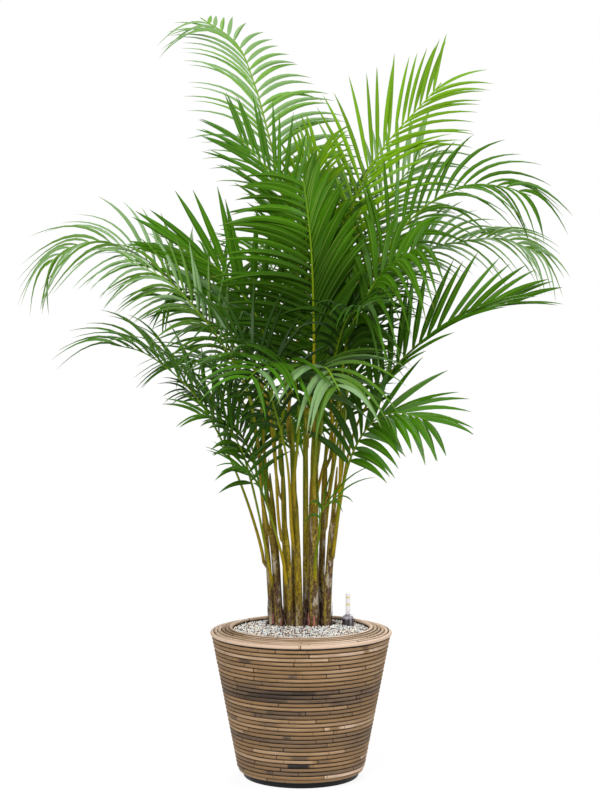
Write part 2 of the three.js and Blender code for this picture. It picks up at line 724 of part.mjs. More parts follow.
/** The clear tube, open at its foot, round its float. */
function gaugeTube() {
  const { tubeR, domeZ, topZ } = GAUGE;
  const bore = FLOAT.r + GAP;
  const foot = domeZ + GAP;
  return turned([
    [bore, foot], [tubeR, foot], [tubeR, topZ - 1.5], [tubeR - 1.5, topZ], [0, topZ],
    [0, FLOAT.high + GAP], [bore, FLOAT.high + GAP], [bore, foot],
  ], 12).translate(GAUGE.x, GAUGE.y, 0);
}

function gaugeFloat() {
  return turned([[0, FLOAT.low], [FLOAT.r, FLOAT.low], [FLOAT.r, FLOAT.high], [0, FLOAT.high]], 12)
    .translate(GAUGE.x, GAUGE.y, 0);
}

/** The root ball with its crown, and a plain hole for every cane. */
function rootBall() {
  const bottomZ = LINER.bottomZ + LINER.wall + GAP;
  const ball = turned([
    [0, bottomZ], [linerInnerR(bottomZ) - GAP, bottomZ], [linerInnerR(SOIL_Z) - GAP, SOIL_Z], [0, SOIL_Z],
  ]);
  const holes = CANES.map((cane) => solid(caneSkin(cane, GAP)));
  const whole = solid(ball).add(solid(crownDrum(0, SOIL_Z - 10, CROWN.z)));
  return geometryOf(holes.reduce((left, hole) => left.subtract(hole), whole));
}

/** Waves that stand for the loose surface of the stones. */
function stoneWave(x, y) {
  return 1.8 * Math.sin(x * 0.31 + 1.3) * Math.cos(y * 0.27 - 0.6) + 1.1 * Math.sin(x * 0.53 - y * 0.47);
}

/** The bed of stones, which spreads over the liner's lip as far as the rim. */
function gravel() {
  const floorZ = SOIL_Z + GAP;
  const lipZ = LINER.topZ + GAP;
  const innerR = linerInnerR(floorZ) - GAP;
  const outerR = RIM_INNER_R - GAP;
  const rows = [outerR, 138, 118, 98, 60];
  const bed = turned([
    [0, floorZ], [innerR, floorZ], [innerR, lipZ], [outerR, lipZ], ...rows.map((r) => [r, GRAVEL_EDGE_Z]),
    [0, GRAVEL_INNER_Z],
  ], ROUND);
  const place = bed.getAttribute('position');
  for (let i = 0; i < place.count; i++) {
    const [x, y, z] = [place.getX(i), place.getY(i), place.getZ(i)];
    const share = Math.min(1, Math.hypot(x, y) / outerR);
    if (z > lipZ + 1) place.setZ(i, mix(GRAVEL_INNER_Z, GRAVEL_EDGE_Z, share) + stoneWave(x, y) * (1 - share ** 8));
  }
  return geometryOf(solid(bed)
    .subtract(solid(crownDrum(GAP + 1, SOIL_Z - 10, CROWN.z + 20)))
    .subtract(solid(gaugeCap(GAP))));
}

// ---- Assembly -----------------------------------------------------------------------------

add('tub', tub(), BLACK_PLASTIC);
add('rattan_wall', rattanWall(), RATTAN);
add('rattan_rim', rattanRim(), RATTAN);
add('liner', liner(), BLACK_PLASTIC);
add('root_ball', rootBall(), SOIL);
add('gravel', gravel(), STONES);
add('gauge_cap', gaugeCap(), GAUGE_GREY);
add('gauge_tube', gaugeTube(), GAUGE_CLEAR);
add('gauge_float', gaugeFloat(), GAUGE_RED);
take('rattan_rim', solid(rattanRim()));
take('gravel', solid(gravel()));
take('gauge_cap', solid(gaugeCap(GAP)));
take('gauge_tube', solid(gaugeTube()));

const numbered = (word, i) => `${word}_${String(i + 1).padStart(2, '0')}`;

CANES.forEach((cane, i) => {
  add(numbered('cane', i), caneSkin(cane), CANE_SKIN);
  take(numbered('cane', i), solid(caneSkin(cane, LEAF_GAP)));
});

const lines = FRONDS.map(frondLine);
const clashes = [];
FRONDS.forEach((frond, i) => {
  const name = numbered('frond', i);
  const stalk = stalkSolid(frond, lines[i], 0);
  for (const met of allMet(stalk)) {
    const box = met.body.intersect(stalk).boundingBox();
    clashes.push(`${name} meets ${met.owner} near ${box.min.map((v, k) => Math.round((v + box.max[k]) / 2))}`);
  }
  take(name, stalkSolid(frond, lines[i], LEAF_GAP));
});
if (clashes.length) throw new Error(clashes.join('\n'));
FRONDS.forEach((frond, i) => {
  const name = numbered('frond', i);
  add(name, frondSkin(frond, lines[i], name), LEAF[frond.tone]);
});

export default root;
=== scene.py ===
"""Dresses the potted palm: its fronds and canes, and the rattan planter with its gravel and water gauge.

Lengths in the tables and functions are in millimetres. A finished mesh is brought to metres.
"""

import math
import random
from dataclasses import dataclass

import bmesh
import bpy
from bpy.props import FloatProperty, FloatVectorProperty, PointerProperty
from mathutils import Matrix, Vector, noise


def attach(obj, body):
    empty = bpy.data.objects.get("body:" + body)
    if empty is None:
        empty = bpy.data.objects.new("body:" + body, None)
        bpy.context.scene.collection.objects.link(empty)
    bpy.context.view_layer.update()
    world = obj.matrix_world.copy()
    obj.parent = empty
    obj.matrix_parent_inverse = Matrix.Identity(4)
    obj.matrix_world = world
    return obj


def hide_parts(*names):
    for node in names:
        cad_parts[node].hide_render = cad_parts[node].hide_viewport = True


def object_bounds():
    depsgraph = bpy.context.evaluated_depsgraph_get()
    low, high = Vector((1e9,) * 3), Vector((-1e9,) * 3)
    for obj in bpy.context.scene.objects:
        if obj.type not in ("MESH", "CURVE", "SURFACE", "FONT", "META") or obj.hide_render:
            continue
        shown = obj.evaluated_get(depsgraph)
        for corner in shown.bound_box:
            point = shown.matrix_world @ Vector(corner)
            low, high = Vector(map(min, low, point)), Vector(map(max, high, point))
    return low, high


bl_info = {
    "name": "Potted Palm",
    "version": (1, 0, 0),
    "blender": (4, 5, 0),
    "location": "3D View > Sidebar > Potted Palm",
    "description": "Makes the fronds, canes, planter, gravel and gauge of a potted palm",
    "category": "Add Mesh",
}

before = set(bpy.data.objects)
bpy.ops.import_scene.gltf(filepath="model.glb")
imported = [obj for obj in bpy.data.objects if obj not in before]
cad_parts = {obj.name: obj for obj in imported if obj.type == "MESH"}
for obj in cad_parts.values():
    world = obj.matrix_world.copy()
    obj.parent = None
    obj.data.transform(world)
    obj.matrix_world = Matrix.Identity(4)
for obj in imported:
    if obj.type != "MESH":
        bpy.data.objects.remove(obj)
cad_low, cad_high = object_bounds()

MM = 0.001
UP = Vector((0, 0, 1))
FRONT = Vector((0, -1, 0))

# ---- The plant's tables -----------------------------------------------------------------------


@dataclass
class Cane:
    """Where a cane stands, its radius there, and where its top is."""

    at: tuple
    radius: float
    top: tuple


CANES = [
    Cane((-66, 60), 8, (-92, 25, 640)),
    Cane((-50, 28), 10, (-72, -20, 620)),
    Cane((-34, 70), 8, (-45, 40, 760)),
    Cane((-22, 18), 9, (-36, -38, 600)),
    Cane((-2, 10), 10, (-18, -46, 720)),
    Cane((12, 70), 8, (10, 35, 900)),
    Cane((30, 22), 12, (32, -25, 860)),
    Cane((58, 36), 11, (78, -10, 640)),
    Cane((46, 82), 9, (60, 55, 780)),
    Cane((-14, 110), 9, (-20, 95, 820)),
    Cane((-48, 100), 8, (-75, 90, 700)),
    Cane((20, 120), 9, (30, 110, 760)),
    Cane((58, 62), 7, (86, 34, 720)),
]


@dataclass
class Frond:
    """One frond.

    cane is counted from 1, join is the height where the stalk leaves it, and via are the points
    that the rachis then passes. bare is the share of the length without leaflets, and blade the
    longest leaflet. turn is how far the upper face is turned from the sky to the front, and vee
    how far the leaflets rise out of that face, in degrees. sag is how far they sag at last, as a
    share of their length. tone names the green. spread is how far the leaflets point away from
    the rachis at its first and last leaflet, and skew how much less those on the right hand do.
    tip is the share of their length that the right-hand ones keep at the rachis's tip. pitch is the
    leaflets' spacing, width their width as a share of blade, and right how many times wider the
    right-hand ones are. arch is how far they bow upwards, as a share of their length.
    """

    cane: int
    join: float
    via: list
    bare: float
    blade: float
    turn: float
    vee: float
    sag: float
    tone: str
    spread: tuple = (60, 30)
    skew: float = 0
    tip: float = 1
    pitch: float = 22
    width: float = 0.05
    right: float = 1
    arch: float = 0.3


FRONDS = [
    # the tall ones at the top
    Frond(
        10, 760,
        [(5, 110, 1250), (-70, 130, 1493), (-114, 150, 1652), (-158, 150, 1752), (-245, 135, 1812)],
        0.42, 215, 75, 12, 0.7, "pale",
        pitch=20, spread=(54, 42), skew=-22, tip=0.14, width=0.032, right=2.1,
    ),
    Frond(
        3, 700, [(-10, 15, 1265), (-62, 0, 1400), (-150, -10, 1512)],
        0.6, 200, 70, 18, 0.15, "fresh", spread=(40, 20), arch=0.1,
    ),
    Frond(
        7, 800, [(30, -50, 1055), (22, -72, 1260), (5, -60, 1405)],
        0.2, 235, 85, 12, 0.3, "green",
        pitch=18, spread=(52, 40), skew=20, tip=0.6, width=0.07, right=1.6, arch=0.2,
    ),
    Frond(
        9, 720, [(70, 80, 1125), (160, 70, 1430), (335, 40, 1640)],
        0.4, 230, 80, 12, 0.3, "bright", spread=(50, 24), skew=4, width=0.042, arch=0.15,
    ),
    # the right side
    Frond(
        9, 640, [(120, 20, 1055), (235, 15, 1285), (376, 0, 1388), (480, -20, 1386), (540, -28, 1364)],
        0.34, 205, 48, 20, 0.75, "green", pitch=26, spread=(52, 22),
    ),
    Frond(
        13, 660,
        [
            (130, 85, 1030), (225, 105, 1180), (300, 100, 1240), (400, 95, 1265),
            (490, 85, 1268), (580, 70, 1230),
        ],
        0.4, 175, 34, 25, 0.85, "pale", pitch=20, spread=(50, 20), width=0.062,
    ),
    Frond(
        8, 590, [(105, -40, 1020), (145, -80, 1112), (185, -110, 1178), (270, -150, 1236)],
        0.5, 185, 40, 20, 1.0, "green", spread=(65, 40), width=0.1, arch=0.8,
    ),
    Frond(
        13, 560, [(130, 0, 820), (210, -30, 950), (320, -55, 1052), (425, -80, 1098), (505, -90, 1112)],
        0.38, 210, 34, 36, 0.15, "green", pitch=25, spread=(50, 18), width=0.068, arch=0.1,
    ),
    Frond(
        8, 500, [(95, -40, 665), (120, -80, 765), (165, -120, 838), (215, -165, 862), (285, -215, 848)],
        0.46, 185, 38, 8, 0.45, "fresh", pitch=20, spread=(66, 22), width=0.11, arch=0.05,
    ),
    # the front
    Frond(
        7, 640, [(38, -60, 845), (30, -120, 950), (55, -190, 965), (85, -270, 915)],
        0.5, 195, 20, 15, 0.65, "pale", spread=(80, 45), width=0.085,
    ),
    Frond(
        5, 620, [(-5, -85, 845), (-25, -140, 965), (-85, -220, 965), (-120, -280, 940)],
        0.52, 180, 20, 15, 0.6, "fresh", spread=(80, 50), width=0.08,
    ),
    # the left side
    Frond(
        1, 480, [(-150, 0, 705), (-230, -20, 869), (-288, -30, 938), (-372, -35, 998), (-445, -40, 1016)],
        0.4, 235, 10, 30, 0.7, "green", pitch=28, spread=(50, 22), width=0.045,
    ),
    Frond(
        2, 560,
        [(-120, -25, 890), (-186, -50, 1020), (-246, -65, 1098), (-305, -80, 1160), (-408, -100, 1215)],
        0.46, 175, 38, 20, 0.9, "pale", spread=(48, 22),
    ),
    Frond(
        3, 640,
        [
            (-100, 40, 935), (-237, 30, 1085), (-349, 20, 1203), (-456, 5, 1256),
            (-545, -10, 1243), (-600, -20, 1200),
        ],
        0.42, 195, 34, 22, 0.95, "pale", pitch=25, spread=(48, 18),
    ),
    Frond(
        11, 620, [(-125, 90, 885), (-190, 110, 1040), (-235, 105, 1125), (-290, 90, 1150), (-340, 70, 1122)],
        0.52, 170, 70, 15, 0.3, "fresh", spread=(70, 38),
    ),
    Frond(
        4, 540, [(-85, -10, 1030), (-135, -10, 1130), (-190, -15, 1190), (-285, -30, 1245)],
        0.55, 250, 80, 15, 0.06, "fresh", pitch=30, spread=(48, 10), width=0.07, arch=0.05,
    ),
    Frond(
        2, 430, [(-118, -42, 700), (-146, -62, 785), (-188, -90, 840), (-240, -112, 858)],
        0.52, 145, 30, 20, 0.4, "green", pitch=20, spread=(66, 26), width=0.08, arch=0.1,
    ),
    Frond(
        4, 440, [(-75, -75, 630), (-105, -100, 705), (-150, -125, 742)],
        0.62, 130, 20, 15, 0.5, "green", pitch=20, spread=(45, 22), width=0.07, arch=0.1,
    ),
    Frond(
        7, 450, [(42, -60, 575), (48, -90, 632), (85, -120, 662)],
        0.65, 150, 25, 15, 0.4, "green", spread=(60, 26),
    ),
    # the back and the fill
    Frond(12, 700, [(95, 130, 1125), (190, 180, 1340), (310, 210, 1500)], 0.42, 215, 60, 15, 0.4, "pale"),
    Frond(
        5, 520, [(-38, -100, 780), (-110, -150, 985), (-190, -200, 1060)],
        0.5, 205, 30, 20, 0.5, "dark", spread=(62, 32),
    ),
    Frond(
        7, 730, [(72, -65, 960), (105, -150, 1075), (140, -240, 1100)],
        0.42, 175, 25, 20, 0.55, "dark", spread=(62, 32),
    ),
    Frond(
        6, 840, [(14, 45, 1150), (15, 35, 1350), (45, 10, 1480)],
        0.3, 190, 50, 20, 0.25, "bright", spread=(45, 22),
    ),
    Frond(
        11, 520, [(-130, 100, 770), (-205, 110, 865), (-275, 100, 900)],
        0.45, 150, 20, 25, 0.5, "dark", pitch=16, spread=(62, 30), width=0.075,
    ),
    Frond(12, 640, [(40, 200, 950), (60, 320, 1120), (80, 490, 1150)], 0.4, 215, 0, 25, 0.55, "green"),
    Frond(10, 700, [(-40, 180, 1000), (-70, 310, 1200), (-110, 460, 1270)], 0.4, 215, 0, 25, 0.45, "green"),
    Frond(11, 580, [(-125, 180, 830), (-210, 290, 960), (-310, 410, 950)], 0.4, 205, 0, 25, 0.6, "green"),
    Frond(
        12, 560, [(75, 170, 800), (100, 290, 950), (115, 430, 1000)],
        0.4, 185, 0, 25, 0.6, "green", pitch=15, width=0.065,
    ),
    Frond(9, 560, [(110, 135, 880), (165, 230, 1080), (230, 350, 1190)], 0.4, 195, 0, 28, 0.5, "green"),
    Frond(
        11, 660, [(-115, 160, 980), (-210, 240, 1180), (-350, 310, 1240)],
        0.42, 215, 0, 28, 0.45, "green",
    ),
    Frond(
        10, 560, [(-20, 210, 740), (-30, 340, 850), (-50, 480, 800)],
        0.42, 195, 0, 20, 0.6, "green", pitch=14, width=0.07,
    ),
    Frond(6, 760, [(40, 95, 1080), (70, 190, 1300), (140, 270, 1420)], 0.42, 215, 0, 25, 0.3, "green"),
]

CANE_FOOT_Z = 300
CANE_TAPER = 0.72
CANE_NECK = 0.8
CANE_TIP = 0.4
STALK_R = 5
STALK_FOOT_R = 2
STALK_TIP_R = 1.4
HUG = 60  # length over which a stalk lies against its cane

# ---- The planter's tables ---------------------------------------------------------------------

POLE_R = 4.8
WALL_ROWS = 33
TOP_ROW = (205.4, 325)  # radius and height of the highest wall pole's middle line
LOW_ROW = (146.6, 27)
FOOT_ROW = (143, 19)
RIM_OUTER = (209.6, 336)
RIM_STEP = (-8.6, 2.1)

# The rim's coils from the outermost: how dark each is, the way its lit side looks (180 is outwards
# and 90 upwards), and how near to that side the painted shade of the grooves comes.
RIM_COILS = [
    (0.0, 145, 0.65), (0.06, 100, 0.88), (0.12, 92, 0.88),
    (0.16, 90, 0.88), (0.14, 84, 0.84), (0.04, 60, 0.66),
]
RIM_POLE_R = POLE_R * 0.98
RIM_JOINTS = 3
RIM_FIRST_ROW = 40  # number of the outermost coil, past those of the wall's rows
RIM_UNDER_Z = 330.4
TUB_WALL = 4
TUB_LIP = (201, 330)  # outer radius and height
TUB_BEND = (141.4, 27)
TUB_FOOT = (137.8, 14.2)
LINER_TOP = (160.6, 338)
LINER_FOOT = (127, 6.4)
LINER_WALL = 2.6
GRAVEL_R = 161.4
GRAVEL_MIDDLE_Z = 350
GRAVEL_EDGE_Z = 341.5
BED_DEPTH = 2.5  # how far the solid bed lies under the middles of the grains
BED_R = 155.2
BED_FLOOR_Z = 322.4
BED_LIP_Z = 338.5  # where the bed spreads over the liner's lip
BED_UNDER_CROWN_Z = 330
BED_RINGS = 30
SOIL_Z = 322
CROWN = (0, 70, 85, 75, 355)  # middle, half widths and height of the rooted crown
STRAND_FOOT_Z = CROWN[4] - 8
STRANDS_PER_CANE = 16
GAUGE_AT = (112, 50)
GAUGE_HOLE_R = 14.5

# The pink stubs of old sheaths at the canes' feet: where each stands, half its width, and its height.
PINK_STUBS = [(18, 11, 3.2, 34), (31, 7, 2.6, 32), (-66, 48, 3.4, 26), (-58, 20, 2.4, 22)]

# How dark each wall row is, from the top down: 0 is tan, 0.5 grey-brown and 1 nearly black.
ROW_SHADES = [
    0.16, 0.18, 0.10, 0.22, 0.24, 0.16, 0.20, 0.18, 0.20, 0.30, 0.42,
    0.56, 0.52, 0.36, 0.28, 0.34, 0.30, 0.14, 0.16, 0.16, 0.18,
    0.34, 0.42, 0.44, 0.36, 0.26, 0.22, 0.30, 0.34, 0.30, 0.36, 0.26, 0.28,
]

# Short dark lengths: the row counted from the top, where it starts and ends in degrees to the
# right of the front, and how much darker it is.
DARK_LENGTHS = [
    (0, 42, 47, 0.35), (1, 44, 48, 0.3), (3, -44, -34, 0.3), (5, -30, 0, 0.12), (6, -8, -3, 0.3),
    (9, -75, -30, 0.2), (10, -60, 10, 0.2), (11, -40, 20, 0.15), (12, -75, -10, 0.15), (13, 20, 50, 0.2),
    (15, -26, 2, 0.25), (16, -40, -10, 0.15), (18, -34, -18, 0.2), (19, 22, 30, 0.3), (21, -14, -9, 0.3),
    (26, -8, 6, 0.3), (27, 10, 26, 0.2), (28, -11, 7, 0.6), (30, -32, -26, 0.25),
]

# ---- Curves -----------------------------------------------------------------------------------


def mix(a, b, share):
    return a + (b - a) * share


def smoothstep(value, low, high):
    share = min(1, max(0, (value - low) / (high - low)))
    return share * share * (3 - 2 * share)


class Route:
    """A centripetal Catmull-Rom curve through points, walked by its length."""

    SAMPLES = 200

    def __init__(self, points):
        points = [Vector(point) for point in points]
        before = points[0] * 2 - points[1]
        after = points[-1] * 2 - points[-2]
        self.points = [before, *points, after]
        self.spans = len(points) - 1
        walked = [self.at(i / self.SAMPLES) for i in range(self.SAMPLES + 1)]
        self.reach = [0]
        for here, there in zip(walked, walked[1:]):
            self.reach.append(self.reach[-1] + (there - here).length)
        self.length = self.reach[-1]

    def at(self, t):
        """The point at the parameter t, from 0 to 1."""
        span = min(int(t * self.spans), self.spans - 1)
        share = t * self.spans - span
        p0, p1, p2, p3 = self.points[span : span + 4]
        d0, d1, d2 = math.sqrt((p1 - p0).length), math.sqrt((p2 - p1).length), math.sqrt((p3 - p2).length)
        leave = ((p1 - p0) / d0 - (p2 - p0) / (d0 + d1) + (p2 - p1) / d1) * d1
        arrive = ((p2 - p1) / d1 - (p3 - p1) / (d1 + d2) + (p3 - p2) / d2) * d1
        bend = (p2 - p1) * 3 - leave * 2 - arrive
        close = (p1 - p2) * 2 + leave + arrive
        return p1 + leave * share + bend * share**2 + close * share**3

    def heading(self, t):
        """The direction at the parameter t."""
        low, high = max(0, t - 1e-4), min(1, t + 1e-4)
        return (self.at(high) - self.at(low)).normalized()

    def parameter(self, u):
        """The parameter at the share u of the length."""
        goal = min(1, max(0, u)) * self.length
        low, high = 0, self.SAMPLES
        while high - low > 1:
            middle = (low + high) // 2
            if self.reach[middle] <= goal:
                low = middle
            else:
                high = middle
        share = (goal - self.reach[low]) / (self.reach[high] - self.reach[low])
        return (low + share) / self.SAMPLES


def cane_route(cane):
    x, y = cane.at
    top_x, top_y, top_z = cane.top
    middle = (mix(x, top_x, 0.4), mix(y, top_y, 0.4), mix(CANE_FOOT_Z, top_z, 0.5))
    return Route([(x, y, CANE_FOOT_Z), middle, cane.top])


def cane_radius(cane, t):
    neck = max(0, (t - CANE_NECK) / (1 - CANE_NECK))
    return cane.radius * mix(1, CANE_TAPER, t) * mix(1, CANE_TIP, neck)


def cane_at(cane, z):
    """The point of a cane's middle line at a height, carried on past its top."""
    route = cane_route(cane)
    t = (z - CANE_FOOT_Z) / (cane.top[2] - CANE_FOOT_Z)
    if t <= 1:
        return route.at(t)
    return route.at(1) + route.heading(1) * (z - cane.top[2])


class Stem:
    """The middle line of a frond's stalk and rachis, with its directions along the way."""

    def __init__(self, frond):
        cane = CANES[frond.cane - 1]
        foot = cane_at(cane, frond.join)
        goal = Vector(frond.via[1])
        self.frond = frond
        self.out = goal - foot
        self.out.z = 0
        self.out.normalize()
        t = min(1, (frond.join - CANE_FOOT_Z) / (cane.top[2] - CANE_FOOT_Z))
        stand = cane_radius(cane, t) + STALK_FOOT_R + 1
        start = foot + self.out * stand
        along = cane_at(cane, frond.join + HUG) + self.out * (stand + HUG * 0.1)
        self.sunk = self.out * -(stand - STALK_FOOT_R)
        self.route = Route([start, along, *frond.via])
        turn = math.radians(frond.turn)
        self.sky = Vector((0, -math.sin(turn), math.cos(turn)))

    def frame(self, u):
        """The point at the share u, and the directions forward, upward and to the side."""
        t = self.route.parameter(u)
        forward = self.route.heading(t)
        face = (-self.out).lerp(self.sky, smoothstep(u, 0.1, self.frond.bare + 0.05))
        up = (face - forward * face.dot(forward)).normalized()
        return self.route.at(t), forward, up, forward.cross(up)


# ---- Meshes -----------------------------------------------------------------------------------


def new_mesh(*names):
    """An empty bmesh and its number layers, which become attributes of the vertices."""
    bm = bmesh.new()
    for name in names:
        bm.verts.layers.float.new(name)
    bm.verts.layers.int.new("strip")
    bm.verts.layers.int.new("column")
    return bm, *(bm.verts.layers.float[name] for name in names)


def swept(bm, strips, columns, steps, put, closed=False):
    """Sweeps rows of joined vertices through steps, and returns the new faces.

    put(vert, strip, column, step) places each vertex. A closed row is a tube, which gets its ends.
    """
    strip_of = bm.verts.layers.int["strip"]
    column_of = bm.verts.layers.int["column"]
    faces = []
    edges = []
    for strip in range(strips):
        row = []
        for column in range(columns):
            vert = bm.verts.new()
            vert[strip_of] = strip
            vert[column_of] = column
            put(vert, strip, column, 0)
            row.append(vert)
        edges += [bm.edges.new(pair) for pair in zip(row, row[1:])]
        if closed:
            edges.append(bm.edges.new((row[-1], row[0])))
    ends = list(edges)
    for step in range(1, steps):
        grown = bmesh.ops.extrude_edge_only(bm, edges=edges)["geom"]
        edges = [part for part in grown if isinstance(part, bmesh.types.BMEdge)]
        faces += [part for part in grown if isinstance(part, bmesh.types.BMFace)]
        for vert in (part for part in grown if isinstance(part, bmesh.types.BMVert)):
            put(vert, vert[strip_of], vert[column_of], step)
    if closed:
        ends += edges
        faces += bmesh.ops.holes_fill(bm, edges=ends, sides=columns)["faces"]
    return faces


def turned(profile, sides, centre=(0, 0)):
    """A closed profile of (radius, height) points spun about an upright axis."""
    bm = bmesh.new()
    verts = [bm.verts.new((radius, 0, z)) for radius, z in profile]
    edges = [bm.edges.new(pair) for pair in zip(verts, verts[1:])]
    bmesh.ops.spin(
        bm, geom=verts + edges, cent=(0, 0, 0), axis=UP, dvec=(0, 0, 0),
        angle=math.tau, steps=sides, use_merge=True, use_duplicate=False,
    )
    bmesh.ops.remove_doubles(bm, verts=bm.verts, dist=1e-3)
    bmesh.ops.translate(bm, vec=(*centre, 0), verts=bm.verts)
    return bm


def joined(parts):
    """Several bmeshes as one."""
    whole = parts[0]
    for part in parts[1:]:
        mesh = bpy.data.meshes.new("part")
        part.to_mesh(mesh)
        part.free()
        whole.from_mesh(mesh)
        bpy.data.meshes.remove(mesh)
    return whole


def make_piece(bm, name, nodes, material, sharp=35):
    """A bmesh in millimetres as a finished piece, which stands for CAD nodes."""
    bmesh.ops.recalc_face_normals(bm, faces=bm.faces)
    bmesh.ops.scale(bm, vec=(MM, MM, MM), verts=bm.verts)
    limit = math.radians(sharp)
    for edge in bm.edges:
        edge.smooth = edge.calc_face_angle(0) < limit
    for face in bm.faces:
        face.smooth = True
    for layer in ("strip", "column"):
        if layer in bm.verts.layers.int:
            bm.verts.layers.int.remove(bm.verts.layers.int[layer])
    mesh = bpy.data.meshes.new(name)
    bm.to_mesh(mesh)
    bm.free()
    mesh.materials.append(material)
    piece = bpy.data.objects.new(name, mesh)
    bpy.context.scene.collection.objects.link(piece)
    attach(piece, "root")
    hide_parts(*nodes)


# ---- Materials --------------------------------------------------------------------------------


def linear(code):
    """A colour written as #rrggbb, as the linear values that Blender stores."""
    channels = [int(code[i : i + 2], 16) / 255 for i in (1, 3, 5)]
    return [c / 12.92 if c <= 0.04045 else ((c + 0.055) / 1.055) ** 2.4 for c in channels]


def four(colour):
    return (*colour[:3], 1)


class Value:
    """A socket of a material, whose arithmetic adds Math nodes."""

    def __init__(self, finish, socket):
        self.finish = finish
        self.socket = socket

    def math(self, operation, *numbers, clamp=False):
        settings = {"operation": operation, "use_clamp": clamp}
        return self.finish.node("ShaderNodeMath", settings, dict(enumerate(numbers)))

    def __add__(self, other):
        return self.math("ADD", self, other)

    def __sub__(self, other):
        return self.math("SUBTRACT", self, other)

    def __rsub__(self, other):
        return self.math("SUBTRACT", other, self)

    def __mul__(self, other):
        return self.math("MULTIPLY", self, other)

    def __pow__(self, other):
        return self.math("POWER", self, other)

    def __mod__(self, other):
        return self.math("FLOORED_MODULO", self, other)

    __radd__ = __add__
    __rmul__ = __mul__

    def step(self, low, high):
        """0 up to low and 1 from high, with a smooth rise between. high may be the lower one."""
        settings = {"interpolation_type": "SMOOTHSTEP"}
        return self.finish.node("ShaderNodeMapRange", settings, {0: self, 1: low, 2: high, 3: 0, 4: 1})

    def clamped(self):
        return self.math("ADD", self, 0, clamp=True)


class Finish:
    """A material under construction."""

    def __init__(self, name):
        self.material = bpy.data.materials.new(name)
        self.material.use_nodes = True
        self.tree = self.material.node_tree
        self.tree.nodes.clear()

    def node(self, kind, settings=None, inputs=None, out=0):
        """Adds a node. settings come first, then the values and links of its inputs."""
        node = self.tree.nodes.new(kind)
        for key, value in (settings or {}).items():
            if key == "stops":
                self.set_stops(node.color_ramp, value)
            else:
                setattr(node, key, value)
        for key, value in (inputs or {}).items():
            if isinstance(value, Value):
                self.tree.links.new(value.socket, node.inputs[key])
            else:
                node.inputs[key].default_value = value
        return Value(self, node.outputs[out]) if node.outputs else node

    @staticmethod
    def set_stops(ramp, stops):
        while len(ramp.elements) < len(stops):
            ramp.elements.new(1)
        for element, (position, colour) in zip(ramp.elements, stops):
            element.position = position
            element.color = four(colour)

    def attribute(self, name):
        return self.node("ShaderNodeAttribute", {"attribute_name": name}, out="Fac")

    def place(self, stretch=(1, 1, 1)):
        """Object coordinates in metres, multiplied by the factors of stretch."""
        place = self.node("ShaderNodeTexCoord", out="Object")
        return self.node("ShaderNodeVectorMath", {"operation": "MULTIPLY"}, {0: place, 1: stretch})

    def axis(self, name):
        return self.node("ShaderNodeSeparateXYZ", None, {0: self.place()}, out=name)

    def vector(self, x, y, z):
        return self.node("ShaderNodeCombineXYZ", None, {0: x, 1: y, 2: z})

    def noise(self, vector, scale, detail=2.0, roughness=0.5):
        inputs = {"Vector": vector, "Scale": scale, "Detail": detail, "Roughness": roughness}
        return self.node("ShaderNodeTexNoise", None, inputs)

    def mixed(self, factor, a, b):
        """Colour a with as much of colour b as factor says."""
        a, b = (colour if isinstance(colour, Value) else four(colour) for colour in (a, b))
        return self.node("ShaderNodeMix", {"data_type": "RGBA"}, {0: factor, 6: a, 7: b}, out=2)

    def ramp(self, factor, stops):
        return self.node("ShaderNodeValToRGB", {"stops": stops}, {0: factor})

    def bump(self, height, distance, strength=0.6):
        """A bump of that height in metres."""
        inputs = {"Height": height, "Distance": distance, "Strength": strength}
        return self.node("ShaderNodeBump", None, inputs)

    def surface(self, **inputs):
        """The Principled shader; its inputs are named with _ for a space."""
        named = {key.replace("_", " "): value for key, value in inputs.items()}
        return self.node("ShaderNodeBsdfPrincipled", None, named)

    def done(self, shader):
        self.node("ShaderNodeOutputMaterial", None, {"Surface": shader})
        return self.material

    def plain(self, **inputs):
        """The material with only the Principled shader."""
        return self.done(self.surface(**inputs))


# ---- Settings ---------------------------------------------------------------------------------


def colour_setting(name, code, description):
    return FloatVectorProperty(
        name=name, description=description, subtype="COLOR", size=3, min=0, max=1, default=linear(code),
    )


def length_setting(name, millimetres, description):
    return FloatProperty(
        name=name, description=description, unit="LENGTH", min=0, default=millimetres * MM, precision=4,
    )


class PALM_PG_planter(bpy.types.PropertyGroup):
    """Sizes and colours of the planter and what lies in it."""

    rim: colour_setting("Rim rattan", "#c4aa93", "The peeled poles of the rim")
    pale: colour_setting("Pale rattan", "#9e8263", "The lightest skin of the wall's poles")
    tan: colour_setting("Tan rattan", "#836541", "The usual skin of the poles")
    grey: colour_setting("Grey rattan", "#67523d", "Weathered poles")
    brown: colour_setting("Brown rattan", "#33251a", "Dark lengths of the poles")
    black: colour_setting("Burnt rattan", "#14100d", "Nearly black patches")
    plastic: colour_setting("Plastic", "#0b0a0a", "The tub and the liner")
    soil: colour_setting("Soil", "#2b1d13", "The rooted compost")
    grain: length_setting("Grain", 4.6, "The usual width of a grain of gravel")
    waviness: length_setting("Waviness", 0.35, "How far a pole strays from its even ring")


